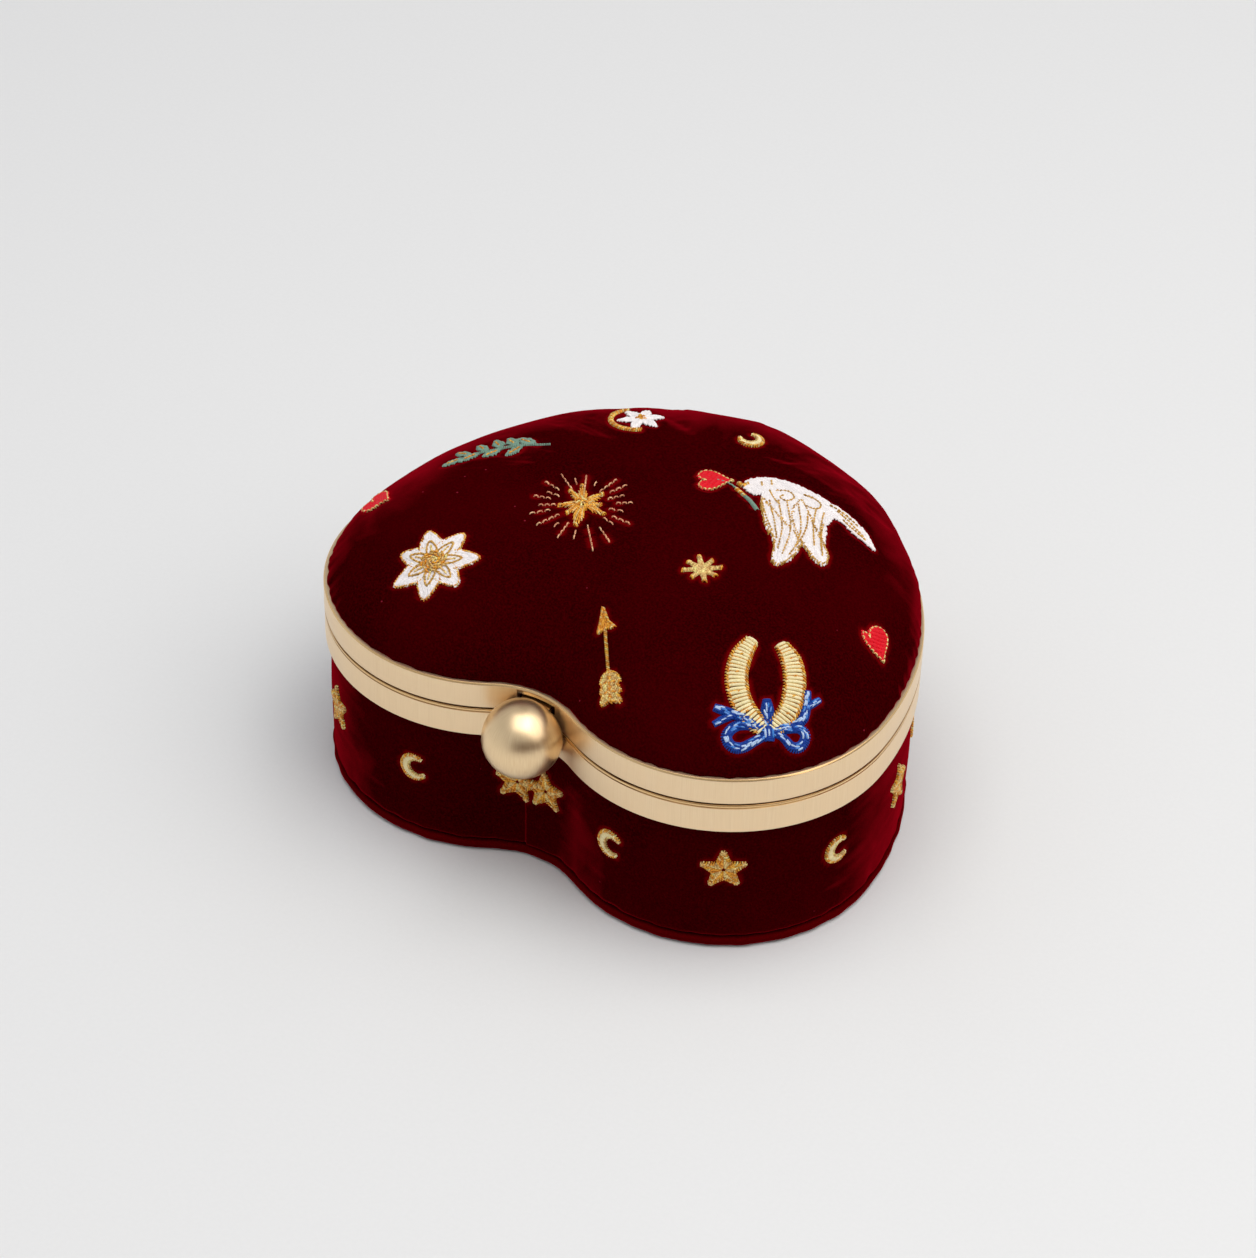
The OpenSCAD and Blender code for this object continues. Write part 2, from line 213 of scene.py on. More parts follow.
def ripple(runs, seed, fewest, most, waves=9):
    """A smooth uneven wave of about unit height that closes round the outline."""
    draw = random.Random(seed)
    total = np.zeros(len(runs))
    for _ in range(waves):
        turns = 2 * math.pi * draw.randint(fewest, most) * runs / HEART_RUN
        total += draw.uniform(0.4, 1) * np.sin(turns + draw.uniform(0, 6.28))
    return total / math.sqrt(waves / 2)


class Heart:
    """The outline at chosen lengths, ready to be set in and lifted."""

    def __init__(self, runs):
        self.runs = runs
        self.points, self.outward = heart_at(runs)

    def ring(self, inset, z):
        flat = self.points - self.outward * np.reshape(inset, (-1, 1))
        return np.column_stack([flat, np.broadcast_to(z, len(flat))])

    def shrunk(self, inset, share, z):
        flat = self.points - self.outward * np.reshape(inset, (-1, 1))
        flat = DOME_CENTRE + (flat - DOME_CENTRE) * share
        return np.column_stack([flat, np.broadcast_to(z, len(flat))])


# ---------- skins ----------


def signed_volume(points, faces):
    total = 0.0
    for k in range(1, faces.shape[1] - 1):
        a, b, c = points[faces[:, 0]], points[faces[:, k]], points[faces[:, k + 1]]
        total += float(np.einsum("ij,ij->i", a, np.cross(b, c)).sum())
    return total


def skin(name, rings, runs, loop=False, poles=(None, None), slots=None):
    """A closed skin over rings of points in mm, with UVs in mm; a pole closes an end."""
    count = len(rings[0])
    points = np.concatenate(rings)
    steps = [0.0]
    for a, b in zip(rings, rings[1:] + rings[:1]):
        steps.append(steps[-1] + float(np.median(np.linalg.norm(b - a, axis=1))))
    along = np.append(runs, HEART_RUN)
    around = np.arange(count)
    after = (around + 1) % count
    quads, quad_uv, slot_of = [], [], []
    for k in range(len(rings) if loop else len(rings) - 1):
        low, high = k * count, ((k + 1) % len(rings)) * count
        quads.append(np.stack([low + around, low + after, high + after, high + around], 1))
        u = np.stack([along[:-1], along[1:], along[1:], along[:-1]], 1)
        v = np.broadcast_to([steps[k], steps[k], steps[k + 1], steps[k + 1]], u.shape)
        quad_uv.append(np.stack([u, v], 2))
        slot_of.append(np.full(count, slots[k] if slots else 0))
    quads, quad_uv = np.concatenate(quads), np.concatenate(quad_uv)
    tris, tri_uv = [], []
    for end, pole in enumerate(poles):
        if pole is None:
            continue
        base = 0 if end == 0 else (len(rings) - 1) * count
        tip = np.full(count, len(points))
        points = np.vstack([points, pole])
        a, b = (after, around) if end == 0 else (around, after)
        tris.append(np.stack([base + a, base + b, tip], 1))
        u = along[:-1] if end else along[1:]
        w = along[1:] if end else along[:-1]
        flat = np.full(count, steps[-2] if end else 0.0)
        corners = ((u, flat), (w, flat), (u, flat + 1))
        tri_uv.append(np.stack([np.stack(corner, 1) for corner in corners], 1))
    volume = signed_volume(points, quads) + sum(signed_volume(points, t) for t in tris)
    if volume < 0:
        quads, quad_uv = quads[:, ::-1], quad_uv[:, ::-1]
        tris, tri_uv = [t[:, ::-1] for t in tris], [t[:, ::-1] for t in tri_uv]
    faces = quads.tolist() + [f for t in tris for f in t.tolist()]
    mesh = bpy.data.meshes.new(name)
    mesh.from_pydata((points / 1000).tolist(), [], faces)
    layer = mesh.uv_layers.new(name="UVMap")
    uvs = np.concatenate([quad_uv.reshape(-1, 2)] + [t.reshape(-1, 2) for t in tri_uv])
    layer.data.foreach_set("uv", uvs.astype(np.float32).ravel())
    mesh.polygons.foreach_set("use_smooth", np.ones(len(faces), bool))
    if slots:
        index = np.concatenate(slot_of + [np.zeros(len(t), int) for t in tris])
        mesh.polygons.foreach_set("material_index", index.astype(np.int32))
    mesh.validate()
    mesh.update()
    return mesh


def rounded(corners, steps=3):
    """A closed profile of (inset, z, radius) corners, each turned into a small arc."""
    made = []
    for i, (x, z, radius) in enumerate(corners):
        here = np.array([x, z])
        before = np.array(corners[i - 1][:2]) - here
        after = np.array(corners[(i + 1) % len(corners)][:2]) - here
        if radius <= 0:
            made.append(tuple(here))
            continue
        a, b = before / np.linalg.norm(before), after / np.linalg.norm(after)
        half = math.acos(np.clip(a @ b, -1, 1)) / 2
        back = min(radius / math.tan(half), 0.49 * np.linalg.norm(before), 0.49 * np.linalg.norm(after))
        first, last = here + a * back, here + b * back
        for t in np.linspace(0, 1, steps + 1):
            made.append(tuple((1 - t) ** 2 * first + 2 * t * (1 - t) * here + t**2 * last))
    return made


def block(name, low, high):
    """A plain cutter, removed after use."""
    bm = bmesh.new()
    bmesh.ops.create_cube(bm, size=1)
    low, high = Vector(low) / 1000, Vector(high) / 1000
    size = high - low
    for v in bm.verts:
        v.co = Vector(low[i] + (v.co[i] + 0.5) * size[i] for i in range(3))
    mesh = bpy.data.meshes.new(name)
    bm.to_mesh(mesh)
    bm.free()
    return new_object(name, mesh)


def cut(piece, *cutters):
    for cutter in cutters:
        change = piece.modifiers.new("cut", "BOOLEAN")
        change.operation = "DIFFERENCE"
        change.solver = "EXACT"
        change.object = cutter
    finished(piece)
    for cutter in cutters:
        bpy.data.objects.remove(cutter)
    return piece


# ---------- materials ----------


def blank_material(name):
    material = bpy.data.materials.new(name)
    material.use_nodes = True
    material.node_tree.nodes.clear()
    return material, material.node_tree


def shaded(tree, pattern, low, high, first, second):
    """The socket of a colour that goes from first to second as a pattern goes from low to high."""
    share = add(tree, "ShaderNodeMapRange", {"Value": pattern, "From Min": low, "From Max": high})
    tone = add(tree, "ShaderNodeMix", {0: share.outputs["Result"], 6: first, 7: second}, data_type="RGBA")
    return tone.outputs[2]


def surfaced(material, tree, inputs):
    """Ends a material with the shader that these numbers and sockets feed."""
    shader = add(tree, "ShaderNodeBsdfPrincipled", inputs)
    add(tree, "ShaderNodeOutputMaterial", {"Surface": shader.outputs["BSDF"]})
    return material


def silk_velvet():
    """Cut-pile silk velvet: almost black-red looking into the pile, bright red at grazing angles, where a
    sheen is painted into its colour.
    """
    material, tree = blank_material("silk velvet, burgundy")
    place = add(tree, "ShaderNodeTexCoord").outputs["Object"]
    nap = add(tree, "ShaderNodeTexNoise", {"Vector": place, "Scale": 38.0, "Detail": 3.0}).outputs["Fac"]
    # pile tufts are about 0.1 mm; they are drawn at 0.5 mm so that they show
    pile = add(tree, "ShaderNodeTexNoise", {"Vector": place, "Scale": 2000.0, "Detail": 2.0}).outputs["Fac"]
    lint = add(tree, "ShaderNodeTexVoronoi", {"Vector": place, "Scale": 120.0}).outputs["Distance"]
    pile_sheen_mask = add(tree, "ShaderNodeAttribute", attribute_name="pressed").outputs["Fac"]
    facing = add(tree, "ShaderNodeLayerWeight", {"Blend": 0.5}).outputs["Facing"]
    # the pile leans one way here and another there, in patches of about 10 mm, which breaks up its painted
    # sheen
    stroke = add(tree, "ShaderNodeTexNoise", {
        "Vector": place, "Scale": 95.0, "Detail": 4.0, "Distortion": 0.7}).outputs["Fac"]
    # painted sheen: the base colour turns bright red towards grazing angles, unevenly in patches
    painted_sheen = add(tree, "ShaderNodeMath", {0: stroke, 1: 0.34, 2: facing}, operation="MULTIPLY_ADD")
    tone = shaded(tree, nap, 0.35, 0.7, colour("#250001"), colour("#350002"))
    tone = shaded(tree, pile, 0.35, 0.75, tone, colour("#430003"))
    # painted sheen: pile pressed round the stitches is painted a brighter red
    tone = shaded(tree, pile_sheen_mask, 0.0, 1.0, tone, colour("#880308"))
    tone = shaded(tree, lint, 0.036, 0.024, tone, colour("#7a1c2a"))
    tone = shaded(tree, painted_sheen.outputs[0], 0.68, 1.24, tone, colour("#980618"))
    bump = add(tree, "ShaderNodeBump", {"Height": pile, "Strength": 0.3, "Distance": 0.0003})
    return surfaced(material, tree, {
        "Base Color": tone, "Normal": bump.outputs["Normal"], "Roughness": 1.0, "Specular IOR Level": 0.0,
        "Sheen Weight": 0.1, "Sheen Roughness": 0.28, "Sheen Tint": colour("#e0041c")})


def satin_brass():
    """Champagne brass plate, brushed across the band: soft upright streaks in its reflections."""
    material, tree = blank_material("brass, champagne plated and brushed")
    place = add(tree, "ShaderNodeUVMap", uv_map="UVMap").outputs["UV"]
    # brush lines 0.12 mm apart and about 9 mm long
    lines = add(tree, "ShaderNodeMapping", {"Vector": place, "Scale": (8.0, 0.11, 1.0)}).outputs["Vector"]
    brush = add(tree, "ShaderNodeTexNoise", {"Vector": lines, "Scale": 1.0, "Detail": 3.0}).outputs["Fac"]
    broad = add(tree, "ShaderNodeMapping", {"Vector": place, "Scale": (0.35, 0.02, 1.0)}).outputs["Vector"]
    cloud = add(tree, "ShaderNodeTexNoise", {"Vector": broad, "Scale": 1.0, "Detail": 4.0}).outputs["Fac"]
    tone = shaded(tree, brush, 0.3, 0.7, colour("#eacda4"), colour("#f6ddb8"))
    tone = shaded(tree, cloud, 0.3, 0.75, tone, colour("#f2d6ae"))
    rough = add(tree, "ShaderNodeMapRange", {"Value": brush, "To Min": 0.3, "To Max": 0.44})
    bump = add(tree, "ShaderNodeBump", {"Height": brush, "Strength": 0.35, "Distance": 0.00003})
    return surfaced(material, tree, {
        "Base Color": tone, "Roughness": rough.outputs["Result"], "Normal": bump.outputs["Normal"],
        "Metallic": 1.0})


def bright_brass(name="brass, champagne plated and polished", tone="#efcd98", roughness=0.16):
    """Polished plate on beads, bevels and small parts: clear warm reflections with faint wear."""
    material, tree = blank_material(name)
    place = add(tree, "ShaderNodeTexCoord").outputs["Object"]
    wear = add(tree, "ShaderNodeTexNoise", {"Vector": place, "Scale": 420.0, "Detail": 4.0}).outputs["Fac"]
    scuff = add(tree, "ShaderNodeTexNoise", {"Vector": place, "Scale": 60.0, "Detail": 2.0}).outputs["Fac"]
    rough = add(tree, "ShaderNodeMapRange", {"Value": wear, "To Min": roughness, "To Max": roughness + 0.12})
    bump = add(tree, "ShaderNodeBump", {"Height": wear, "Strength": 0.12, "Distance": 0.0001})
    return surfaced(material, tree, {
        "Base Color": shaded(tree, scuff, 0.3, 0.75, colour(tone), colour("#dcb47c")),
        "Roughness": rough.outputs["Result"], "Normal": bump.outputs["Normal"], "Metallic": 1.0})


def turned_brass():
    """The ball: turned and satin finished, so its highlights smear round it."""
    material, tree = blank_material("brass, champagne plated and satin turned")
    place = add(tree, "ShaderNodeUVMap", uv_map="UVMap").outputs["UV"]
    # polishing marks 0.17 mm wide run up and down the ball
    lines = add(tree, "ShaderNodeMapping", {"Vector": place, "Scale": (6.0, 0.25, 1.0)}).outputs["Vector"]
    marks = add(tree, "ShaderNodeTexNoise", {"Vector": lines, "Scale": 1.0, "Detail": 3.0}).outputs["Fac"]
    rough = add(tree, "ShaderNodeMapRange", {"Value": marks, "To Min": 0.3, "To Max": 0.4})
    bump = add(tree, "ShaderNodeBump", {"Height": marks, "Strength": 0.25, "Distance": 0.00003})
    return surfaced(material, tree, {
        "Base Color": shaded(tree, marks, 0.3, 0.7, colour("#eacb9e"), colour("#f6dcb2")),
        "Roughness": rough.outputs["Result"], "Normal": bump.outputs["Normal"], "Metallic": 1.0})


def spring_steel():
    """Bright zinc-plated steel of the hidden catch parts: cool grey with a faint drawn grain."""
    material, tree = blank_material("steel, zinc plated")
    place = add(tree, "ShaderNodeTexCoord").outputs["Object"]
    grain = add(tree, "ShaderNodeTexNoise", {"Vector": place, "Scale": 900.0, "Detail": 3.0}).outputs["Fac"]
    rough = add(tree, "ShaderNodeMapRange", {"Value": grain, "To Min": 0.24, "To Max": 0.4})
    return surfaced(material, tree, {
        "Base Color": shaded(tree, grain, 0.3, 0.7, colour("#a9abad"), colour("#c4c5c6")),
        "Roughness": rough.outputs["Result"], "Metallic": 1.0})


def lining_satin():
    """Acetate satin lining: fine ribs across the warp and a soft gloss that follows its folds."""
    material, tree = blank_material("satin, wine lining")
    place = add(tree, "ShaderNodeTexCoord").outputs["Object"]
    # yarns are 0.15 mm apart; drawn at 0.5 mm so that they show
    warp = add(tree, "ShaderNodeMapping", {"Vector": place, "Scale": (2000.0, 160.0, 160.0)})
    yarn = add(tree, "ShaderNodeTexNoise", {
        "Vector": warp.outputs["Vector"], "Scale": 1.0, "Detail": 2.0}).outputs["Fac"]
    drift = add(tree, "ShaderNodeTexNoise", {"Vector": place, "Scale": 30.0, "Detail": 2.0}).outputs["Fac"]
    tone = shaded(tree, yarn, 0.3, 0.7, colour("#5a0a14"), colour("#701320"))
    tone = shaded(tree, drift, 0.4, 0.8, tone, colour("#7c1826"))
    bump = add(tree, "ShaderNodeBump", {"Height": yarn, "Strength": 0.2, "Distance": 0.0001})
    return surfaced(material, tree, {
        "Base Color": tone, "Normal": bump.outputs["Normal"], "Roughness": 0.38, "Sheen Weight": 0.3,
        "Sheen Tint": colour("#e08090")})


def fibrous(name, size, detail, dark, light, strength, depth, roughness):
    """A matt fibrous material, flecked and faintly rough at one size of fibre."""
    material, tree = blank_material(name)
    place = add(tree, "ShaderNodeTexCoord").outputs["Object"]
    fibre = add(tree, "ShaderNodeTexNoise", {"Vector": place, "Scale": size, "Detail": detail}).outputs["Fac"]
    bump = add(tree, "ShaderNodeBump", {"Height": fibre, "Strength": strength, "Distance": depth})
    return surfaced(material, tree, {
        "Base Color": shaded(tree, fibre, 0.35, 0.7, colour(dark), colour(light)),
        "Normal": bump.outputs["Normal"], "Roughness": roughness})


def thread(name, metallic, roughness, gloss, depth, warmth):
    """Embroidery thread coloured by its own stitch, with a fine twist."""
    material, tree = blank_material(name)
    place = add(tree, "ShaderNodeTexCoord").outputs["Object"]
    tint = add(tree, "ShaderNodeAttribute", attribute_name="tint").outputs["Color"]
    # plies turn every 0.4 mm or so; drawn as fine flecks of that size, the darker ones painted shade between
    # the plies
    twist = add(tree, "ShaderNodeTexNoise", {"Vector": place, "Scale": 2600.0, "Detail": 2.0}).outputs["Fac"]
    # a darker, warmer copy of the tint: painted shade between the plies
    dark = add(tree, "ShaderNodeHueSaturation", {
        "Color": tint, "Value": depth, "Saturation": 1.25, "Hue": warmth})
    bump = add(tree, "ShaderNodeBump", {"Height": twist, "Strength": 0.4, "Distance": 0.0001})
    return surfaced(material, tree, {
        "Base Color": shaded(tree, twist, 0.38, 0.62, dark.outputs["Color"], tint),
        "Normal": bump.outputs["Normal"], "Metallic": metallic, "Roughness": roughness,
        "Specular IOR Level": gloss})


def paper_sweep():
    """The studio's pale paper floor."""
    material, tree = blank_material("background paper, pale grey")
    place = add(tree, "ShaderNodeTexCoord").outputs["Object"]
    tooth = add(tree, "ShaderNodeTexNoise", {"Vector": place, "Scale": 900.0, "Detail": 3.0}).outputs["Fac"]
    tone = shaded(tree, tooth, 0.0, 1.0, colour("#e4e5e6"), colour("#e8e9ea"))
    return surfaced(material, tree, {"Base Color": tone, "Roughness": 0.85})


VELVET = silk_velvet()
BRUSHED = satin_brass()
POLISHED = bright_brass()
# painted shade: the groove under the bead and the faces in the seam are painted dark brown, the reflected
# shadow of the band above
GROOVE_SHADE = bright_brass("brass, painted shade in the groove", "#80502a", 0.34)
TURNED = turned_brass()
STEEL = spring_steel()
SATIN = lining_satin()
# bookbinder's greyboard: flecked and quite matt
BOARD = fibrous("greyboard", 700.0, 5.0, "#8d8272", "#a89c8a", 0.3, 0.0001, 0.9)
# the soft white fibre between the lid's shell and its velvet
WADDING = fibrous("polyester wadding", 500.0, 6.0, "#d9d7d2", "#efeeea", 0.5, 0.0004, 0.95)
# a thin metal foil wound round a core glints a little; rayon has a plain silky gloss
GOLD_THREAD = thread("metallised thread", 0.1, 0.38, 0.2, 0.5, 0.472)
RAYON_THREAD = thread("rayon thread", 0.0, 0.55, 0.25, 0.88, 0.5)

# ---------- padded cloth ----------

# enough for the cloth to come to rest
CLOTH_FRAMES = 20


def swell(points, faces, held, pressure, reach, slack):
    """Blows a skin up as cloth and returns how each point moved, in mm, at most reach."""
    mesh = bpy.data.meshes.new("swelling")
    mesh.from_pydata((points / 1000).tolist(), [], faces)
    piece = new_object("swelling", mesh)
    group = piece.vertex_groups.new(name="held")
    group.add([int(i) for i in np.flatnonzero(held)], 1.0, "REPLACE")
    cloth = piece.modifiers.new("cloth", "CLOTH")
    cloth.settings.quality = 5
    cloth.settings.mass = 0.15
    cloth.settings.tension_stiffness = 12
    cloth.settings.compression_stiffness = 12
    cloth.settings.bending_stiffness = 0.3
    cloth.settings.shrink_min = -slack
    cloth.settings.vertex_group_mass = "held"
    cloth.settings.use_pressure = True
    cloth.settings.uniform_pressure_force = pressure
    cloth.settings.effector_weights.gravity = 0
    cloth.collision_settings.use_self_collision = False
    cloth.point_cache.frame_start = 1
    cloth.point_cache.frame_end = CLOTH_FRAMES
    scene = bpy.context.scene
    for step in range(1, CLOTH_FRAMES + 1):
        scene.frame_set(step)
    evaluated = piece.evaluated_get(bpy.context.evaluated_depsgraph_get())
    after = np.zeros(len(points) * 3)
    evaluated.data.vertices.foreach_get("co", after)
    moved = np.nan_to_num(after.reshape(-1, 3) * 1000 - points)
    bpy.data.objects.remove(piece)
    scene.frame_set(1)
    size = np.linalg.norm(moved, axis=1, keepdims=True) + 1e-9
    return moved / size * reach * np.tanh(size / reach)


def spread(values, rows, columns):
    """Values on a coarse grid of rings, smoothly spread over a finer one."""
    old_rows, old_columns = values.shape[:2]
    across = np.arange(columns) * old_columns / columns
    left = np.floor(across).astype(int)
    share = (across - left)[None, :, None]
    share = share * share * (3 - 2 * share)
    wide = values[:, left % old_columns] * (1 - share) + values[:, (left + 1) % old_columns] * share
    down = np.linspace(0, old_rows - 1, rows)
    low = np.minimum(np.floor(down).astype(int), old_rows - 2)
    share = (down - low)[:, None, None]
    return wide[low] * (1 - share) + wide[low + 1] * share


def grid_faces(rings, count, closed_top):
    around = np.arange(count)
    after = (around + 1) % count
    faces = []
    for k in range(rings - 1):
        low, high = k * count, (k + 1) * count
        faces += np.stack([low + around, low + after, high + after, high + around], 1).tolist()
    if closed_top:
        base = (rings - 1) * count
        faces += [[base + i, base + (i + 1) % count, rings * count] for i in range(count)]
    return faces


# ---------- lid velvet ----------

LID_STEP = 1.0
LID_RINGS = 92
LID_CLOTH_COLUMNS = 132
VELVET_IN = 1.7
# about the outline's own radius, which turns a share of it into mm
MEAN_R = 62


def dome_height(share, drop):
    return DOME_BASE + (DOME_H - drop) * (1 - np.power(share, DOME_FLAT)) ** DOME_EDGE


def dome_shares(count):
    """Shares of the outline, from the rim to the centre, evenly spaced along the dome's profile."""
    fine = np.linspace(1, 0, 4001)
    z = dome_height(fine, 0)
    length = np.concatenate([[0], np.cumsum(np.hypot(np.diff(fine) * MEAN_R, np.diff(z)))])
    return np.interp(np.linspace(0, length[-1], count + 1)[:-1], length, fine)


def dome_rings(heart, inset, drop, count, over_lip=False):
    rings = [heart.ring(inset, z) for z in np.linspace(RIM_Z, DOME_BASE, 5)[:-1]]
    dome = [heart.shrunk(inset, s, dome_height(s, drop)) for s in dome_shares(count)]
    if over_lip:
        lip = ((inset, DOME_BASE + 0.4), (inset, UPPER_TOP - 0.04), (1.0, UPPER_TOP + 0.1))
        rings += [heart.ring(*place) for place in lip]
        dome = [ring for ring in dome if ring[0, 2] > UPPER_TOP + 0.35]
    return rings + dome


def lid_swelling(rings, columns):
    """How padding lifts the lid's velvet: pinned in the band and blown up as cloth."""
    heart = Heart(np.linspace(0, HEART_RUN, LID_CLOTH_COLUMNS, endpoint=False))
    coarse = dome_rings(heart, VELVET_IN + 0.2, 0.5, 26)
    points = np.vstack(coarse + [[[*DOME_CENTRE, dome_height(0, 0.5)]]])
    held = points[:, 2] < UPPER_TOP + 0.2
    moved = swell(points, grid_faces(len(coarse), LID_CLOTH_COLUMNS, True), held, 3.0, 0.9, 0.015)
    return spread(moved[:-1].reshape(len(coarse), LID_CLOTH_COLUMNS, 3), rings, columns)


def uneven_dome(ring, runs, level):
    """Faint puckers just above the band, fading up the dome, and a few soft dents."""
    up = max(ring[:, 2].mean() - UPPER_TOP, 0.0)
    bulge = 0.0
    if up > 0.2:
        bulge = 1.25 * (1 - float(smoothstep(3, 12, up))) + 0.45 * math.sin(math.pi * min(up / 9, 1))
    fade = math.exp(-up / 3.2) if level > 0 else 0.0
    pucker = 0.17 * fade * ripple(runs, 5, 45, 130)
    dent = 0.5 * ripple(runs, 8, 7, 19) * smoothstep(0, 4, up) * (1 - smoothstep(13, 19, up))
    flat = unit(ring[:, :2] - DOME_CENTRE)
    # the padding is fuller towards the far right
    far_right = smoothstep(0.55, 0.95, flat @ (0.8, 0.6))
    bulge = bulge + 1.7 * far_right * math.sin(math.pi * min(up / 20, 1)) ** 0.7
    moved = ring.copy()
    moved[:, :2] += flat * np.reshape(bulge + pucker + 0.5 * dent, (-1, 1))
    return moved


def lid_velvet_rings():
    heart = Heart(spaced_runs(LID_STEP))
    outer = dome_rings(heart, VELVET_IN, 0.25, LID_RINGS, True)
    moved = lid_swelling(len(outer), len(heart.runs))
    outer = [ring + moved[k] * 0.55 for k, ring in enumerate(outer)]
    outer = [uneven_dome(ring, heart.runs, k) for k, ring in enumerate(outer)]
    inner = dome_rings(heart, VELVET_IN + 0.7, 1.0, 12)
    return heart, outer, inner


def skin_tree(rings, count):
    points = np.concatenate(rings)
    return BVHTree.FromPolygons(points.tolist(), grid_faces(len(rings), count, False))


# ---------- embroidery ----------

WHITE = colour("#fffafa")
CREAM = colour("#fff2c4")
GOLD = colour("#ffb648")
PALE_GOLD = colour("#ffdc94")
OLD_GOLD = colour("#dcb668")
ROSE_GOLD = colour("#ffc498")
RED = colour("#ea0020")
GREEN = colour("#86a494")
BLUE = colour("#17429f")
SKY = colour("#c6dcfa")
LIGHT_BLUE = colour("#6f9be0")
METALLIC = (GOLD, PALE_GOLD, OLD_GOLD, ROSE_GOLD)
# threads up to this thick, in mm, leave the pile round them standing
FAINT_GAUGE = 0.18
# how far thicker threads press the pile down, in mm
PRESS_DEPTH = 0.28

Stitch = namedtuple("Stitch", "spots tone gauge metal")


class Hoop:
    """Collects stitches that are drawn flat, in mm, and lays them on a cloth."""

    def __init__(self, cloth, seed):
        self.cloth = cloth
        self.stitches = []
        self.draw = random.Random(seed)
        self.place = None

    def settle(self, origin, normal, right):
        """Puts the drawing's centre on the cloth, with its x axis towards right."""
        normal = Vector(normal).normalized()
        right = (Vector(right) - normal * Vector(right).dot(normal)).normalized()
        self.place = (Vector(origin), right, normal.cross(right), normal)

    def on_cloth(self, spot, lift):
        origin, right, up, normal = self.place
        start = origin + right * spot[0] + up * spot[1] + normal * 30
        hit, face_normal, _, _ = self.cloth.ray_cast(start, -normal, 70)
        if hit is None:
            return None
        if face_normal.dot(normal) < 0:
            face_normal = -face_normal
        return hit + face_normal * lift

    def stitch(self, start, end, tint, gauge=0.2, lift=0.15):
        """One stitch: it rises out of the cloth, lies on it and goes back in."""
        start, end = np.asarray(start, float), np.asarray(end, float)
        shares = (0, 0.16, 0.5, 0.84, 1)
        heights = (-0.25, 0.75, 1, 0.75, -0.25)
        spots = [self.on_cloth(start + (end - start) * t, lift * h) for t, h in zip(shares, heights)]
        if None in spots:
            return
        metal = tint in METALLIC
        shade = self.draw.uniform(0.74, 1.3) if metal else self.draw.uniform(0.88, 1.0)
        tone = tuple(min(c * shade, 1.0) for c in tint[:3]) + (1.0,)
        self.stitches.append(Stitch(spots, tone, gauge * self.draw.uniform(0.9, 1.12), metal))

    def run(self, path, tint, step=1.5, gauge=0.22, lift=0.3, gap=0.0, closed=False):
        """Backstitch along a path."""
        marks = resample(path, step, closed)
        for a, b in zip(marks, marks[1:]):
            self.stitch(a, b - (b - a) * gap, tint, gauge, lift)

    def rope(self, path, tint, width=0.75, pitch=0.55, gauge=0.2, lift=0.42, closed=False):
        """A corded edge: short slanting stitches, one after another along a path."""
        marks = resample(path, pitch, closed)
        for i, (a, b) in enumerate(zip(marks, marks[1:])):
            ahead = (b - a) / (np.linalg.norm(b - a) + 1e-9)
            side = np.array([-ahead[1], ahead[0]]) * width / 2
            self.stitch(a - side, b + side, tint if i % 3 else PALE_GOLD, gauge, lift)

    def fill(self, shape, tint, angle=0.0, pitch=0.36, length=3.0, gauge=0.21, lift=0.18):
        """Rows of stitches inside a closed shape, staggered like bricks."""
        turn = rotation(-angle)
        shape = np.asarray(shape) @ turn.T
        low, high = shape[:, 1].min(), shape[:, 1].max()
        for k, y in enumerate(np.arange(low + pitch * 0.4, high, pitch)):
            first = length * (0.35 + 0.3 * (k % 3))
            for x0, x1 in crossings(shape, y):
                if x1 - x0 >= 0.35:
                    self.row(x0, x1, y, first, turn, tint, length, gauge, lift)

    def row(self, x0, x1, y, first, back, tint, length, gauge, lift):
        """One row of a filling: its first stitch is shorter than the others."""
        marks = [x0 - self.draw.uniform(-0.15, 0.4)]
        marks += list(np.arange(x0 + first, x1 - 0.7, length))
        marks.append(x1 + self.draw.uniform(-0.15, 0.4))
        for a, b in zip(marks, marks[1:]):
            self.stitch(np.array([a, y]) @ back, np.array([b, y]) @ back, tint, gauge, lift)

    def satin(self, path, widths, tint, pitch=0.36, gauge=0.21, lift=0.25):
        """Stitches straight across a path, as wide as the widths say."""
        marks = resample(path, pitch, False)
        shares = np.linspace(0, 1, len(marks))
        wide = np.interp(shares, np.linspace(0, 1, len(widths)), widths)
        for i, mark in enumerate(marks):
            ahead = marks[min(i + 1, len(marks) - 1)] - marks[max(i - 1, 0)]
            ahead = ahead / (np.linalg.norm(ahead) + 1e-9)
            side = np.array([-ahead[1], ahead[0]]) * wide[i] / 2
            self.stitch(mark - side, mark + side, tint, gauge, lift)


def frayed(shape, amount, seed):
    """A closed shape with an uneven edge, as loose stitch ends leave it."""
    draw = np.random.default_rng(seed)
    marks = resample(shape, 0.7, True)[:-1]
    centre = marks.mean(0)
    away = unit(marks - centre)
    return marks + away * draw.uniform(-amount, amount, (len(marks), 1))


def rotation(angle):
    c, s = math.cos(math.radians(angle)), math.sin(math.radians(angle))
    return np.array([[c, -s], [s, c]])


def turned(shape, angle, x=0.0, y=0.0):
    """A shape turned about its origin and moved."""
    return np.asarray(shape, float) @ rotation(angle).T + np.array([x, y])


def resample(path, step, closed):
    path = np.asarray(path, float)
    if closed:
        path = np.vstack([path, path[:1]])
    length = np.concatenate([[0], np.cumsum(np.linalg.norm(np.diff(path, axis=0), axis=1))])
    count = max(round(length[-1] / step), 1)
    at = np.linspace(0, length[-1], count + 1)
    return np.stack([np.interp(at, length, path[:, 0]), np.interp(at, length, path[:, 1])], 1)


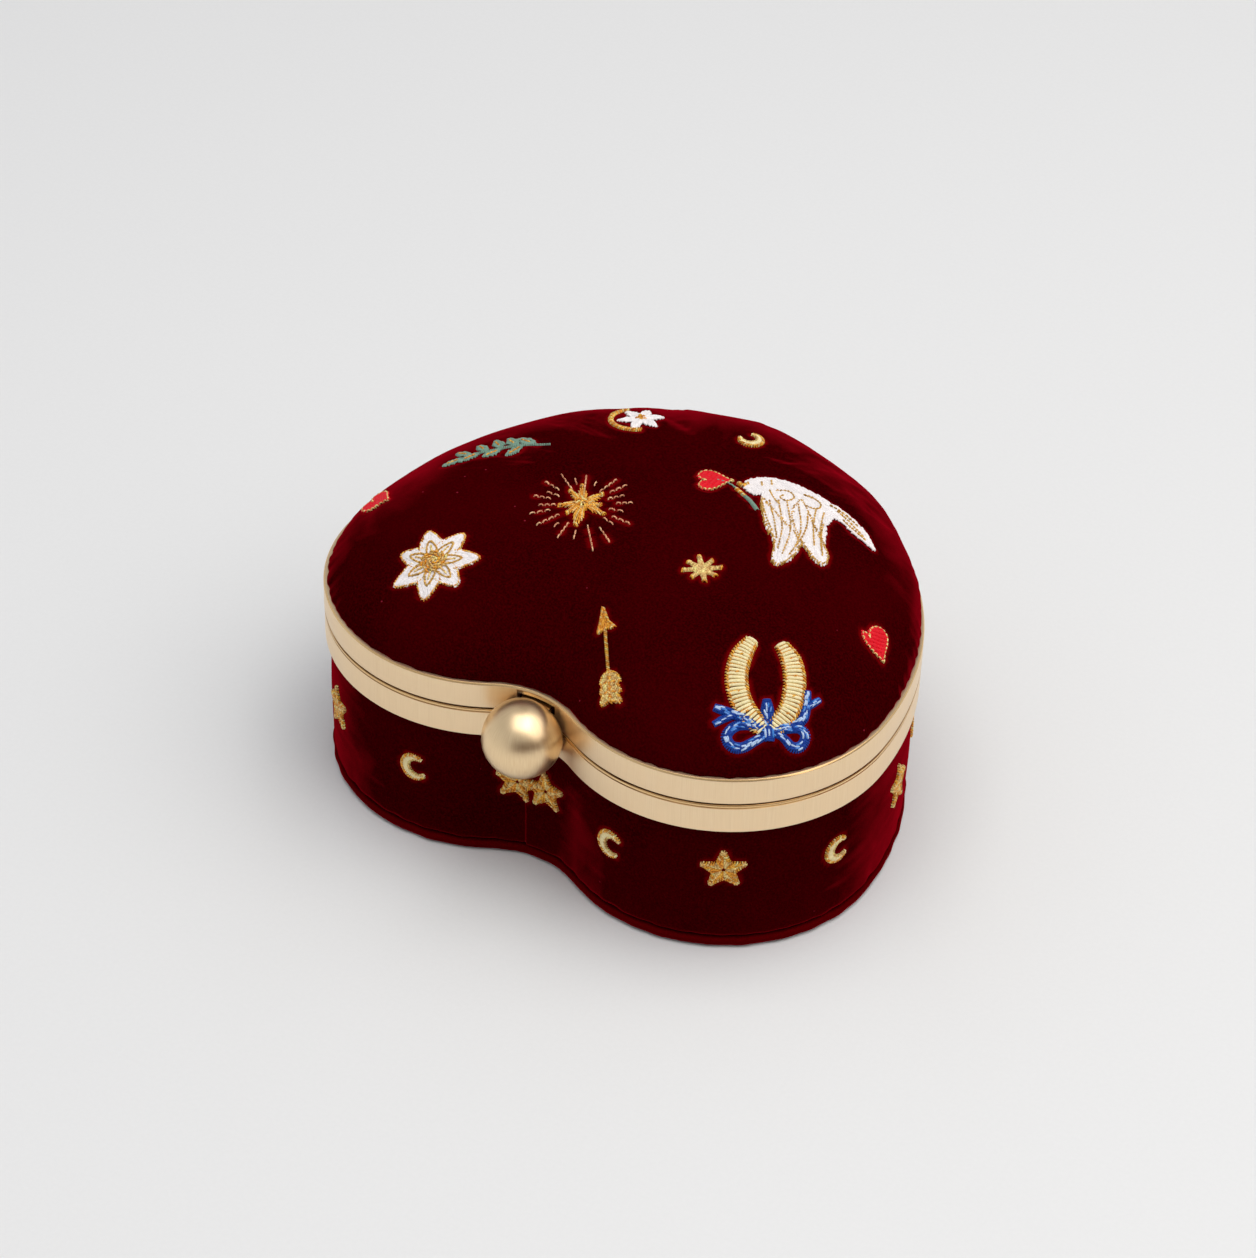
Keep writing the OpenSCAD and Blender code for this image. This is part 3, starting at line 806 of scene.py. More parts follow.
def crossings(shape, y):
    """Where a level line runs inside a closed shape."""
    x, z = shape[:, 0], shape[:, 1]
    x2, z2 = np.roll(x, -1), np.roll(z, -1)
    over = (z <= y) != (z2 <= y)
    cuts = np.sort(x[over] + (y - z[over]) * (x2[over] - x[over]) / (z2[over] - z[over]))
    return list(zip(cuts[::2], cuts[1::2]))


def curve(points, closed=False, fine=8):
    """A smooth line through a few points."""
    p = np.asarray(points, float)
    count = len(p)
    made = []
    for i in range(count if closed else count - 1):
        a, b, c, d = (p[j % count] if closed else p[min(max(j, 0), count - 1)] for j in range(i - 1, i + 3))
        bend, twist = 2 * a - 5 * b + 4 * c - d, 3 * b - a - 3 * c + d
        for t in np.linspace(0, 1, fine, endpoint=False):
            made.append(0.5 * (2 * b + (c - a) * t + bend * t**2 + twist * t**3))
    if not closed:
        made.append(p[-1])
    return np.array(made)


def star_shape(points, outer, inner, first=90.0):
    """A star's outline, its corners at two distances from the centre in turn."""
    angles = np.radians(first + np.arange(2 * points) * 180 / points)
    radii = np.where(np.arange(2 * points) % 2 == 0, outer, inner)
    return np.stack([radii * np.cos(angles), radii * np.sin(angles)], 1)


def heart_shape(width, height):
    """A small heart, tip at the origin's -x side, lobes towards +x."""
    t = np.linspace(0, 2 * math.pi, 60, endpoint=False)
    across = 16 * np.sin(t) ** 3 / 32
    along = (13 * np.cos(t) - 5 * np.cos(2 * t) - 2 * np.cos(3 * t) - np.cos(4 * t) + 2.5) / 29
    return np.stack([along * height, across * width], 1)


def five_point_star(hoop, radius=5.4):
    """A star in gold: spokes of stitches from a small open centre, with a corded edge."""
    shape = star_shape(5, radius, radius * 0.46)
    for edge in range(10):
        a, b = shape[edge], shape[(edge + 1) % 10]
        for t in np.linspace(0.08, 0.92, 5):
            rim = a + (b - a) * t
            hoop.stitch(rim * 0.2, rim * 0.92, PALE_GOLD if edge % 2 else GOLD, 0.2, 0.25)
    hoop.rope(shape, GOLD, 0.85, 0.62, 0.21, 0.45, closed=True)
    for k in range(5):
        tip = shape[2 * k]
        hoop.rope(tip * 0.93 + 0.5 * star_shape(3, 1, 1, 72 * k), PALE_GOLD, 0.5, 0.5, 0.19, 0.5, closed=True)


def crescent(hoop, radius=2.9):
    """A crescent moon: satin stitch across its curve, thin at both horns, with a corded edge."""
    marks = 30
    angles = np.radians(np.linspace(48, 312, marks))
    path = np.stack([radius * np.cos(angles), radius * np.sin(angles)], 1)
    wide = 0.62 * radius
    hoop.satin(path, (0.3, 0.8 * wide, wide, 0.8 * wide, 0.3), CREAM, 0.42, 0.22, 0.32)
    belly = 0.3 * np.sin(np.linspace(0, 1, marks) * math.pi)
    hoop.rope(path * (1 + belly + 0.04)[:, None], GOLD, 0.7, 0.6, 0.2, 0.4)
    hoop.rope(path * (1 - belly - 0.04)[:, None], PALE_GOLD, 0.55, 0.6, 0.19, 0.38)


def eight_point_star(hoop, radius=4.4):
    """A small sparkle: eight short satin rays with a knot at the end of each."""
    for k in range(8):
        angle = k * 45 + 8
        reach = radius * (1.0, 0.86)[k % 2]
        hoop.satin(turned([(0.2, 0), (reach, 0)], angle), (2.0, 1.2, 0.7), PALE_GOLD, 0.4, 0.22, 0.35)
        hoop.rope(turned([(reach - 0.3, 0), (reach + 0.5, 0)], angle), GOLD, 0.9, 0.4, 0.22, 0.5)


def burst(hoop):
    """A ragged star of loose gold strands with fine broken rays round it."""
    rays = ((122, 7.8), (73, 6.8), (-5, 6.6), (-71, 8.6), (-145, 6), (150, 6.4), (-108, 5.4), (30, 4.6))
    for angle, reach in rays:
        for lean in (-9, -6, -3, 0, 3, 6, 9):
            end = turned([(reach * (1 - abs(lean) / 22), 0)], angle + 1.5 * lean)[0]
            start = turned([(0.5, 0)], angle + 6 * lean)[0]
            hoop.stitch(start, end, PALE_GOLD if lean in (-3, 6) else GOLD, 0.23, 0.5)
        hoop.rope(turned([(reach - 0.8, 0), (reach, 0)], angle), GOLD, 0.9, 0.5, 0.2, 0.5)
    for k in range(18):
        spot = turned([(0.55 * math.sqrt(k), 0)], k * 137.5)[0]
        turn = turned([(0.8, 0)], k * 61)[0]
        hoop.stitch(spot - turn, spot + turn, GOLD if k % 2 else PALE_GOLD, 0.23, 0.85)
    for k in range(22):
        angle = k * 360 / 22 + hoop.draw.uniform(-3, 3)
        tall = 1 + 0.28 * max(0, math.cos(math.radians(angle + 60))) ** 3
        start = (6.6 if k % 2 else 8.2) * tall
        end = ((13.6, 10.8, 12.6, 11.4, 14.0)[k % 5] + hoop.draw.uniform(-0.6, 0.6)) * tall
        ray = turned([(start, 0), (end, 0)], angle)
        hoop.run(ray, ROSE_GOLD, 1.7, 0.2, 0.38, gap=0.32)


def petal_shape(length, width):
    """A petal along the x axis, from its narrow root to its point."""
    return curve([(0.6, -0.5), (length * 0.42, -width / 2), (length * 0.76, -width * 0.34), (length, 0),
                  (length * 0.76, width * 0.34), (length * 0.42, width / 2), (0.6, 0.5)], True)


def flower(hoop, petals=7, radius=10.4, first=102.0):
    """White pointed petals with corded gold edges, looped gold veins and a knotted gold heart."""
    for k in range(petals):
        angle = first + k * 360 / petals
        reach = radius * (1.0, 0.92, 1.05)[k % 3]
        petal = petal_shape(reach, 5.6)
        hoop.fill(turned(frayed(petal, 0.3, k), angle), WHITE, angle, 0.36, 3.4, 0.24, 0.25)
        hoop.rope(turned(petal[8:-8] * 1.02, angle), GOLD, 0.4, 0.7, 0.17, 0.34)
        vein = curve([(1.2, -0.8), (3.8, -1.3), (6.6, -0.4), (6.6, 0.4), (3.8, 1.3), (1.2, 0.8)])
        hoop.run(turned(vein, angle), OLD_GOLD, 0.9, 0.26, 0.55, gap=0.12)
        hoop.run(turned([(2, 0), (5.4, 0)], angle), PALE_GOLD, 0.9, 0.23, 0.6, gap=0.05)
    for k in range(44):
        angle, reach = k * 137.5, 0.48 * math.sqrt(k)
        spot = turned([(reach, 0)], angle)[0]
        turn = turned([(0.6, 0)], angle + 70)[0]
        hoop.stitch(spot - turn, spot + turn, (PALE_GOLD, OLD_GOLD, GOLD)[k % 3], 0.27, 0.8)


def dove(hoop):
    """A white dove in flight, its feathers picked out in broken gold lines."""
    body = curve([
        (-16.8, 6.4), (-16.4, 9.2), (-14, 11.6), (-9, 13.6), (-2, 14.2), (6, 13.4), (13, 12), (17, 9.6),
        (19.8, 6.6), (14.5, 7.2), (8, 9.2), (2, 6), (-9, 6), (-11, 6.2), (-12.4, 4.4), (-15, 4.6)], True)
    front_wing = curve([
        (-10.8, 5), (-8, 10), (0, 8), (4.6, -2), (6.4, -8), (6.6, -13.6), (5, -16.2), (3, -14.8),
        (0.6, -9.4), (-5, -4)], True)
    rear_wing = curve([
        (-2, 10), (6, 10), (7.4, 4.6), (9.6, -0.4), (13.8, -6.6), (13.8, -9), (11.2, -8.8), (7, -5.8),
        (4, -3.6), (-1, 2)], True)
    hoop.fill(body, WHITE, -10, 0.36, 3.2, 0.25, 0.22)
    hoop.fill(frayed(rear_wing, 0.5, 3), WHITE, -50, 0.36, 3.2, 0.25, 0.25)
    hoop.fill(frayed(front_wing, 0.5, 4), WHITE, -64, 0.36, 3.4, 0.25, 0.32)
    for k, shape in enumerate((front_wing[28:], rear_wing[28:])):
        for mark in frayed(shape, 0.35, 7 + k):
            turn = turned([(0.45, 0)], hoop.draw.uniform(-110, -40))[0]
            hoop.stitch(mark - turn, mark + turn, OLD_GOLD, 0.21, 0.45)
    feathers = [
        [(-8.4, 4), (-3, -3), (0.6, -8.4)], [(-6.6, 5.4), (-0.6, -3.6), (2.6, -11.6)],
        [(-4.6, 6), (1.4, -3), (4.6, -13)], [(-2, 7), (3.2, -1), (5.6, -8)], [(2.4, 8), (5, 2), (9, -4.6)],
        [(4.4, 8.6), (7, 2), (12, -6)], [(6.4, 11.6), (11, 10.4), (16, 8)], [(4, 12.4), (9, 12), (13, 10.8)],
        [(9, 9.8), (13, 8.6), (17, 7.4)], [(-10, 3), (-5.6, -2.4), (-1.6, -6.4)],
        [(6.4, 4.6), (8.6, -0.6), (12.4, -6.8)], [(-12, 11.4), (-10.8, 9.6)],
        [(1.6, 5.4), (4.6, -1.6), (6, -12)], [(-13.6, 9.4), (-12.6, 8)],
    ]
    for feather in feathers:
        hoop.run(curve(feather), OLD_GOLD, 1.1, 0.23, 0.58, gap=0.3)
    curls = (
        [(-9, 8.4), (-6.4, 10.2), (-4, 8.6), (-4.8, 6.2), (-7, 6.6), (-6.4, 8)],
        [(-3, 11.6), (0, 12), (2.6, 10.4), (2, 8), (-0.4, 7.6)],
        [(-10.4, 7.6), (-8, 5.4), (-5.4, 4)],
    )
    for points in curls:
        hoop.run(curve(points), OLD_GOLD, 0.9, 0.21, 0.6, gap=0.15)
    hoop.rope([(-18.2, 6.2), (-16.6, 5.6), (-16, 7.4)], GOLD, 0.9, 0.45, 0.22, 0.5)


def red_heart(hoop, width, height, left=1.0):
    """A bright red heart with a broken pale edge; its left lobe may be smaller."""
    shape = heart_shape(width, height)
    shape[:, 1] = np.where(shape[:, 1] > 0, left * shape[:, 1], shape[:, 1])
    hoop.fill(shape, RED, 32, 0.36, 2.8, 0.25, 0.22)
    hoop.run(shape, PALE_GOLD, 1.25, 0.2, 0.38, gap=0.3, closed=True)


def stem(hoop):
    """The short stem between the dove's beak and the heart."""
    hoop.run(curve([(-7.6, 1.4), (-4, 1.8), (-1.2, 0.8)]), GREEN, 1.4, 0.2, 0.3)
    hoop.rope(curve([(-1.6, 1.0), (0.6, 0.0), (1.8, -0.6)]), GOLD, 0.7, 0.45, 0.19, 0.4)
    hoop.satin(curve([(0.8, -0.2), (3.6, -1.4), (6.8, -3.6)]), (0.5, 0.8, 0.9), GREEN, 0.4, 0.2, 0.35)


def arrow(hoop):
    """A gold arrow: open head, corded shaft and three pairs of short feathers."""
    head = [(-2.2, 12.8), (-0.4, 8.4), (1.6, 6.4), (-0.8, 6.4), (-3.0, 5.6), (-2.4, 8.6)]
    hoop.fill(head, GOLD, 78, 0.5, 2.2, 0.19)
    hoop.rope(head, GOLD, 0.5, 0.55, 0.18, 0.35, closed=True)
    hoop.rope([(-0.9, 6), (0.4, -6.5)], GOLD, 0.6, 0.55, 0.18, 0.35)
    for k in range(3):
        y = -7.0 - 2.5 * k
        for side in (-1, 1):
            outer = [(0.6 + side * 1.9, y + 0.7), (0.8 + side * 2.5, y - 1.4)]
            vane = curve([(0.5, y + 1.6), *outer, (0.7, y - 0.4)], True)
            hoop.fill(vane, PALE_GOLD, -70 * side, 0.42, 2.6, 0.2, 0.3)
            hoop.rope(vane, GOLD, 0.45, 0.55, 0.17, 0.4, closed=True)
    hoop.rope([(0.4, -6), (0.8, -13.4)], GOLD, 0.55, 0.5, 0.19, 0.5)


def horseshoe(hoop):
    """A horseshoe in cream bars over gold, corded at both edges and tied with a blue bow."""
    left = curve([(-2.4, 12.8), (-5, 9), (-6.6, 4), (-6.5, -1), (-4.8, -5.5), (-1, -9.8)])
    right = curve([(4.4, 11.8), (6.3, 8), (7, 3.6), (6.6, -1), (5.2, -5.5), (1.6, -9.8)])
    widths = (2.6, 4.3, 4.5, 4.5, 4.3, 3.8)
    for arm in (left, right):
        hoop.satin(arm, widths, GOLD, 0.6, 0.22, 0.2)
        hoop.satin(arm, [0.9 * w for w in widths], CREAM, 0.95, 0.4, 0.45)
        marks = resample(arm, 0.5, False)
        ahead = np.gradient(marks, axis=0)
        side = np.stack([-ahead[:, 1], ahead[:, 0]], 1) / np.linalg.norm(ahead, axis=1)[:, None]
        wide = np.interp(np.linspace(0, 1, len(marks)), np.linspace(0, 1, len(widths)), widths) / 2
        for turn in (-1, 1):
            hoop.rope(marks + turn * side * wide[:, None], GOLD, 0.75, 0.75, 0.21, 0.45)
        for t in (0.2, 0.4, 0.6, 0.8):
            nail = marks[int(t * (len(marks) - 1))]
            hoop.stitch(nail - (0.45, 0.2), nail + (0.45, 0.2), GOLD, 0.22, 0.8)
    bow(hoop)


def bow(hoop):
    """A bow of blue ribbon stitches with pale stitches along their middle as painted highlights."""
    ribbons = [
        ([(-1.4, -9.6), (-5, -7.4), (-8.4, -6.2), (-12, -4.8)], 2.2),
        ([(-7, -6.8), (-9.6, -7.4), (-12.2, -8.8)], 1.6),
        ([(2.4, -9.8), (6, -8.8), (8.6, -7.2), (9.6, -3.6), (9.9, -0.2)], 2.1),
        ([(9.2, -4.6), (10.8, -3.4), (12.8, -2.0)], 1.5),
        ([(0.2, -10.4), (-3, -9.2), (-7, -9.2), (-9.4, -11.6), (-8.4, -14), (-5.8, -14.4),
          (-2.8, -12.8), (0, -11.2)], 2.3),
        ([(0.8, -10.6), (3.6, -11.6), (6, -13.8), (8.2, -13.4), (9.2, -11), (7.6, -9.4),
          (4.4, -9.8), (1.2, -10.4)], 2.2),
        ([(0.2, -2.8), (0.3, -6), (0.5, -9.8)], 3.0),
    ]
    for points, wide in ribbons:
        line = curve(points)
        hoop.satin(line, (wide * 0.6, wide, wide, wide * 0.8), BLUE, 0.42, 0.24, 0.42)
        marks = resample(line, 0.8, False)
        # painted highlights: paler blue stitches, most of them near each ribbon's middle
        for lane in (-0.3, -0.12, 0.08, 0.3):
            for i in range(0, len(marks) - 2, 2):
                first = min(i + hoop.draw.randrange(2), len(marks) - 3)
                ahead = (marks[first + 2] - marks[first]) / 1.6
                side = np.array([-ahead[1], ahead[0]]) * wide * lane
                pick = hoop.draw.random() + abs(lane)
                tint = SKY if pick < 0.5 else LIGHT_BLUE if pick < 0.72 else BLUE
                hoop.stitch(marks[first] + side, marks[first + 2] + 0.6 * side, tint, 0.23, 0.66)
    hoop.satin([(0.4, -9.4), (0.6, -12.6)], (2.0, 2.8, 2.0), BLUE, 0.4, 0.26, 0.7)
    for x in (-0.5, 0.4, 1.3):
        hoop.stitch((x, -9.7), (x + 0.1, -12.2), SKY if x < 1 else LIGHT_BLUE, 0.26, 0.9)


def leaf_sprig(hoop):
    """A green sprig: small leaves with gold midribs on one stem."""
    stalk = curve([(-12, -3.6), (-6, -1.2), (0, 0), (6, 0.2), (13, -0.6)])
    hoop.satin(stalk, (0.3, 0.6, 0.7, 0.6, 0.3), GREEN, 0.45, 0.19, 0.28)
    spots = [(9.4, 0.2, 140, 4.6, 2.6), (5, 0.2, 118, 4.2, 2.6), (1.2, 0.2, 112, 4.2, 2.4),
             (-2.6, -0.4, 118, 4.0, 2.4), (-6.6, -1.4, 136, 4.6, 2.0), (6.6, 0, 218, 5.4, 2.1),
             (1.0, -0.1, 214, 5.2, 2.1), (-4.4, -0.9, 208, 5.0, 1.9), (-8.6, -2.2, 196, 4.8, 1.8)]
    for x, y, angle, length, width in spots:
        leaf = turned(petal_shape(1.12 * length, 1.1 * width), angle, x, y)
        hoop.fill(leaf, GREEN, angle + 24, 0.4, 2.4, 0.21, 0.24)
        hoop.run(turned([(1.4, 0.2), (length - 0.4, 0.2)], angle, x, y), GOLD, 1.1, 0.21, 0.5, gap=0.05)


def moon_and_bloom(hoop):
    """A gold crescent beside a small white bloom."""
    angles = np.radians(np.linspace(110, 290, 24))
    path = np.stack([6.2 * np.cos(angles) + 1, 6.2 * np.sin(angles)], 1)
    hoop.rope(path, GOLD, 1.1, 0.5, 0.21, 0.4)
    for k in range(6):
        angle = k * 60 + 15
        hoop.fill(turned(petal_shape(5.8, 2.6), angle, 2.4, 0.0), WHITE, angle, 0.36, 2.8, 0.24, 0.26)
    for k in range(7):
        spot = turned([(0.5 * math.sqrt(k), 0)], k * 137.5, 2.4, 0.0)[0]
        hoop.stitch(spot - (0.4, 0), spot + (0.4, 0), GOLD, 0.24, 0.6)


# each: drawing, place on the lid (x, y) and the direction of its own x axis, in degrees
LID_DRAWINGS = (
    (dove, 30, 15, 0),
    (stem, 14, 18, 0),
    (lambda hoop: red_heart(hoop, 7.6, 8.6), 6.6, 19.1, 211),
    (burst, -15.8, -6.6, 0),
    (eight_point_star, 21.2, -12.8, 30),
    (arrow, 14, -44, 30),
    (horseshoe, 52, -36, 33),
    (flower, -37, -40, 30),
    (lambda hoop: red_heart(hoop, 11.0, 9.2, 0.34), 64.6, -5.6, 166),
    (lambda hoop: red_heart(hoop, 8, 9), -66, -20, 175),
    (leaf_sprig, -47, 4.2, 34),
    (moon_and_bloom, -25, 32, 25),
    (lambda hoop: crescent(hoop, 2.5), 4.7, 39.5, 155),
)


def lid_spot(cloth, x, y):
    hit, normal, _, _ = cloth.ray_cast(Vector((x, y, 200)), Vector((0, 0, -1)))
    near = [cloth.ray_cast(Vector((x + dx, y + dy, 200)), Vector((0, 0, -1)))[1]
            for dx, dy in ((3, 0), (-3, 0), (0, 3), (0, -3))]
    for other in near:
        normal = normal + other if other is not None else normal
    return hit, normal


def embroider_lid(cloth):
    hoop = Hoop(cloth, 21)
    for drawing, x, y, angle in LID_DRAWINGS:
        hit, normal = lid_spot(cloth, x, y)
        right = Vector((math.cos(math.radians(angle)), math.sin(math.radians(angle)), 0))
        hoop.settle(hit, normal, right)
        drawing(hoop)
    return hoop.stitches


def run_of(x, y):
    """The length along the outline nearest to a spot."""
    runs = np.linspace(0, HEART_RUN, 4000, endpoint=False)
    points, _ = heart_at(runs)
    return float(runs[np.argmin(np.hypot(points[:, 0] - x, points[:, 1] - y))])


# stars and moons take turns round the base, from the left lobe to the right one and round the tip
SIDE_STARS = ((-58.1, -50.4), (-5.7, -52.0), (1.9, -52.0), (53.4, -55), (73, -2.4), (53, 36), (18, 62),
              (-34, 54), (-66, 14))
SIDE_MOONS = ((-29.8, -61), (25, -60), (72.5, -32), (66, 18), (37, 50), (-15, 63), (-52, 36), (-74, -16))
SIDE_MIDDLE = 24.6
# how each one in turn leans, in degrees, and how far it is off the middle of the side, in mm
SIDE_LEANS = (12, -8, 5, 2, -6, 9, -4, 7, 0)
SIDE_SHIFTS = (-1.8, -1.2, -1.0, 0.6, -2.0, 0.3)


def embroider_base(cloth):
    hoop = Hoop(cloth, 34)
    for spots, drawing in ((SIDE_STARS, five_point_star), (SIDE_MOONS, crescent)):
        for k, (x, y) in enumerate(spots):
            point, outward = (a[0] for a in heart_at([run_of(x, y)]))
            normal = Vector((outward[0], outward[1], 0))
            right = Vector((-outward[1], outward[0], 0))
            lean = math.radians(SIDE_LEANS[k % 9])
            right = right * math.cos(lean) + Vector((0, 0, math.sin(lean)))
            hoop.settle(Vector((*point, SIDE_MIDDLE + SIDE_SHIFTS[k % 6])), normal, right)
            drawing(hoop)
    return hoop.stitches


def thread_tree(material):
    """Geometry nodes that turn lines into thread of their own thickness."""
    tree = bpy.data.node_groups.new("thread", "GeometryNodeTree")
    face = tree.interface
    face.new_socket("Geometry", in_out="INPUT", socket_type="NodeSocketGeometry")
    face.new_socket("Thickness", in_out="INPUT", socket_type="NodeSocketFloat")
    face.new_socket("Sides", in_out="INPUT", socket_type="NodeSocketInt")
    face.new_socket("Geometry", in_out="OUTPUT", socket_type="NodeSocketGeometry")
    entry = add(tree, "NodeGroupInput")
    lines = add(tree, "GeometryNodeMeshToCurve", {"Mesh": entry.outputs["Geometry"]})
    gauge = add(tree, "GeometryNodeInputNamedAttribute", {"Name": "gauge"}, data_type="FLOAT")
    radius = add(tree, "ShaderNodeMath", {
        0: gauge.outputs["Attribute"], 1: entry.outputs["Thickness"]}, operation="MULTIPLY").outputs[0]
    sized = add(tree, "GeometryNodeSetCurveRadius", {"Curve": lines.outputs["Curve"], "Radius": radius})
    circle = add(tree, "GeometryNodeCurvePrimitiveCircle", {
        "Resolution": entry.outputs["Sides"], "Radius": 1.0})
    tube = add(tree, "GeometryNodeCurveToMesh", {
        "Curve": sized.outputs["Curve"], "Profile Curve": circle.outputs["Curve"], "Fill Caps": True})
    if "Scale" in tube.inputs:
        tree.links.new(radius, tube.inputs["Scale"])
    real = add(tree, "GeometryNodeRealizeInstances", {"Geometry": tube.outputs["Mesh"]})
    coloured = add(tree, "GeometryNodeSetMaterial", {
        "Geometry": real.outputs["Geometry"], "Material": material})
    add(tree, "NodeGroupOutput", {"Geometry": coloured.outputs["Geometry"]})
    return tree


def sew(name, stitches, material):
    """All stitches of one thread on one body, as one mesh."""
    points = [p / 1000 for s in stitches for p in s.spots]
    count = len(stitches[0].spots)
    edges = [(k * count + i, k * count + i + 1) for k in range(len(stitches)) for i in range(count - 1)]
    mesh = bpy.data.meshes.new(name)
    mesh.from_pydata(points, edges, [])
    tint = mesh.attributes.new("tint", "FLOAT_COLOR", "POINT")
    tones = np.repeat([s.tone for s in stitches], count, 0)
    tint.data.foreach_set("color", tones.astype(np.float32).ravel())
    gauge = mesh.attributes.new("gauge", "FLOAT", "POINT")
    gauge.data.foreach_set("value", np.repeat([s.gauge for s in stitches], count).astype(np.float32))
    piece = new_object(name, mesh)
    tree = thread_tree(material)
    change = piece.modifiers.new("thread", "NODES")
    change.node_group = tree
    inputs = {s.name: s.identifier for s in tree.interface.items_tree if s.in_out == "INPUT"}
    change[inputs["Thickness"]] = 0.001
    change[inputs["Sides"]] = 6
    finished(piece)
    shaded_smooth(piece)
    return piece


def press_cloth(points, normals, stitches):
    """Pile pushed down under the threads; returns moved points and the painted sheen each one gets round the
    pressed pile.
    """
    # no faint thread is more than this much thicker than its gauge
    thick = FAINT_GAUGE * 1.13
    spots = [p for s in stitches if s.gauge > thick for p in s.spots[1:-1]]
    tree = KDTree(len(spots))
    for i, spot in enumerate(spots):
        tree.insert(spot, i)
    tree.balance()
    away = np.array([tree.find(Vector(p))[2] for p in points])
    under = 1 - smoothstep(0.3, 1.1, away)
    # painted sheen round the thicker threads, reaching a little wider than the pressed pile
    painted_pile_sheen = 0.75 * (1 - smoothstep(0.3, 1.5, away))
    return points - normals * (under * PRESS_DEPTH)[:, None], painted_pile_sheen


def point_normals(rings):
    """Outward directions of the points of a stack of rings."""
    grid = np.array(rings)
    around = np.roll(grid, -1, 1) - np.roll(grid, 1, 1)
    upward = np.gradient(grid, axis=0)
    return unit(np.cross(around, upward).reshape(-1, 3))


def mark_painted_sheen(mesh, painted_pile_sheen):
    values = np.zeros(len(mesh.vertices), np.float32)
    values[: len(painted_pile_sheen)] = painted_pile_sheen
    # the pressed attribute holds painted sheen: the velvet is painted a brighter red there
    layer = mesh.attributes.new("pressed", "FLOAT", "POINT")
    layer.data.foreach_set("value", values)


def make_threads(body, stitches):
    for metal, word, material in ((True, "gold", GOLD_THREAD), (False, "rayon", RAYON_THREAD)):
        mine = [s for s in stitches if s.metal == metal]
        if not mine:
            continue
        piece = sew(f"{body}_{word}_embroidery", mine, material)
        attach(piece, body)


def lid_cover():
    heart, outer, inner = lid_velvet_rings()
    cloth = skin_tree(outer, len(heart.runs))
    stitches = embroider_lid(cloth)
    points = np.concatenate(outer)
    pressed, painted_pile_sheen = press_cloth(points, point_normals(outer), stitches)
    outer = list(pressed.reshape(len(outer), -1, 3))
    top = float(outer[-1][:, 2].mean())
    mesh = skin("lid_cover", outer[::-1] + inner, heart.runs,
                poles=([*DOME_CENTRE, top + 0.02], [*DOME_CENTRE, dome_height(0, 1.0)]))
    mark_painted_sheen(mesh, painted_pile_sheen.reshape(len(outer), -1)[::-1].ravel())
    piece = new_object("lid_cover", mesh, [VELVET])
    stand_for(piece, "lid_velvet", "lid")
    make_threads("lid", stitches)


# ---------- base velvet and bottom panel ----------

JOIN_RUN = run_of(-3.4, CLEFT_FACE)
SIDE_IN = 1.8


def side_profile():
    """The cloth side from its rolled lower edge up into the band, as (inset, height)."""
    low = 3.35
    roll = [(3.4, low), (2.7, low + 0.02), (2.2, low + 0.12), (1.85, low + 0.4)]
    roll += [(1.65, low + 0.9), (1.55, low + 1.6)]
    rise = [(SIDE_IN - 0.5 * math.sin(math.pi * t), low + 2.4 + (BAND_LOW - low - 2.6) * t)
            for t in np.linspace(0.12, 1, 34)]
    return roll + rise + [(SIDE_IN, BAND_LOW + 2), (SIDE_IN, LOWER_TOP - 1.1)]


def hook_room():
    """What leaves room for the catch's hook in the cloth behind the cleft."""
    return block("hook_room", (-6.9, CLEFT_FACE - 2, 42.4), (6.9, CLEFT_FACE + 6, LOWER_TOP + 1))


def base_cover():
    heart = Heart(spaced_runs(1.0, JOIN_RUN))
    off = heart.runs - JOIN_RUN
    # the cloth ends meet in the cleft: one edge laps over the other
    lap = 0.5 * smoothstep(-0.3, 0.2, off) * (1 - smoothstep(0.4, 9, off))
    groove = -0.3 * np.exp(-((off + 0.5) / 0.3) ** 2)
    outer = []
    for inset, z in side_profile():
        free = smoothstep(3.3, 5, z) * (1 - smoothstep(BAND_LOW - 2, BAND_LOW, z))
        wave = 0.1 * ripple(heart.runs, 31 + int(z // 4), 5, 20) * free
        edge = 0.16 * ripple(heart.runs, 77, 30, 90) * (1 - smoothstep(3.4, 6, z))
        outer.append(heart.ring(inset - wave - edge - (lap + groove) * (1 if z < BAND_LOW else 0), z))
    cloth = skin_tree(outer, len(heart.runs))
    stitches = embroider_base(cloth)
    pressed, painted_pile_sheen = press_cloth(np.concatenate(outer), point_normals(outer), stitches)
    # painted sheen along the lapped edge in the cleft and round the rolled lower edge
    painted_lap_sheen = np.exp(-((off + 0.35) / 0.5) ** 2)
    painted_pile_sheen = np.maximum(painted_pile_sheen.reshape(len(outer), -1), 0.12 * painted_lap_sheen[None, :] + 0.15 * painted_edge_sheen(outer)[:, None])
    outer = list(pressed.reshape(len(outer), -1, 3))
    inner = [heart.ring(2.6, z) for z in (LOWER_TOP - 1.1, BAND_LOW, 20, 3.6)]
    mesh = skin("base_cover", outer + inner, heart.runs, loop=True)
    mark_painted_sheen(mesh, painted_pile_sheen.ravel())
    piece = new_object("base_cover", mesh, [VELVET])
    cut(piece, hook_room())
    stand_for(piece, "base_velvet", "base")
    make_threads("base", stitches)


def painted_edge_sheen(rings):
    """Painted sheen where the cloth turns round the lower edge and its pile stands open."""
    z = np.array([ring[:, 2].mean() for ring in rings])
    return (1 - smoothstep(3.6, 5.4, z)) * smoothstep(3.3, 3.8, z)


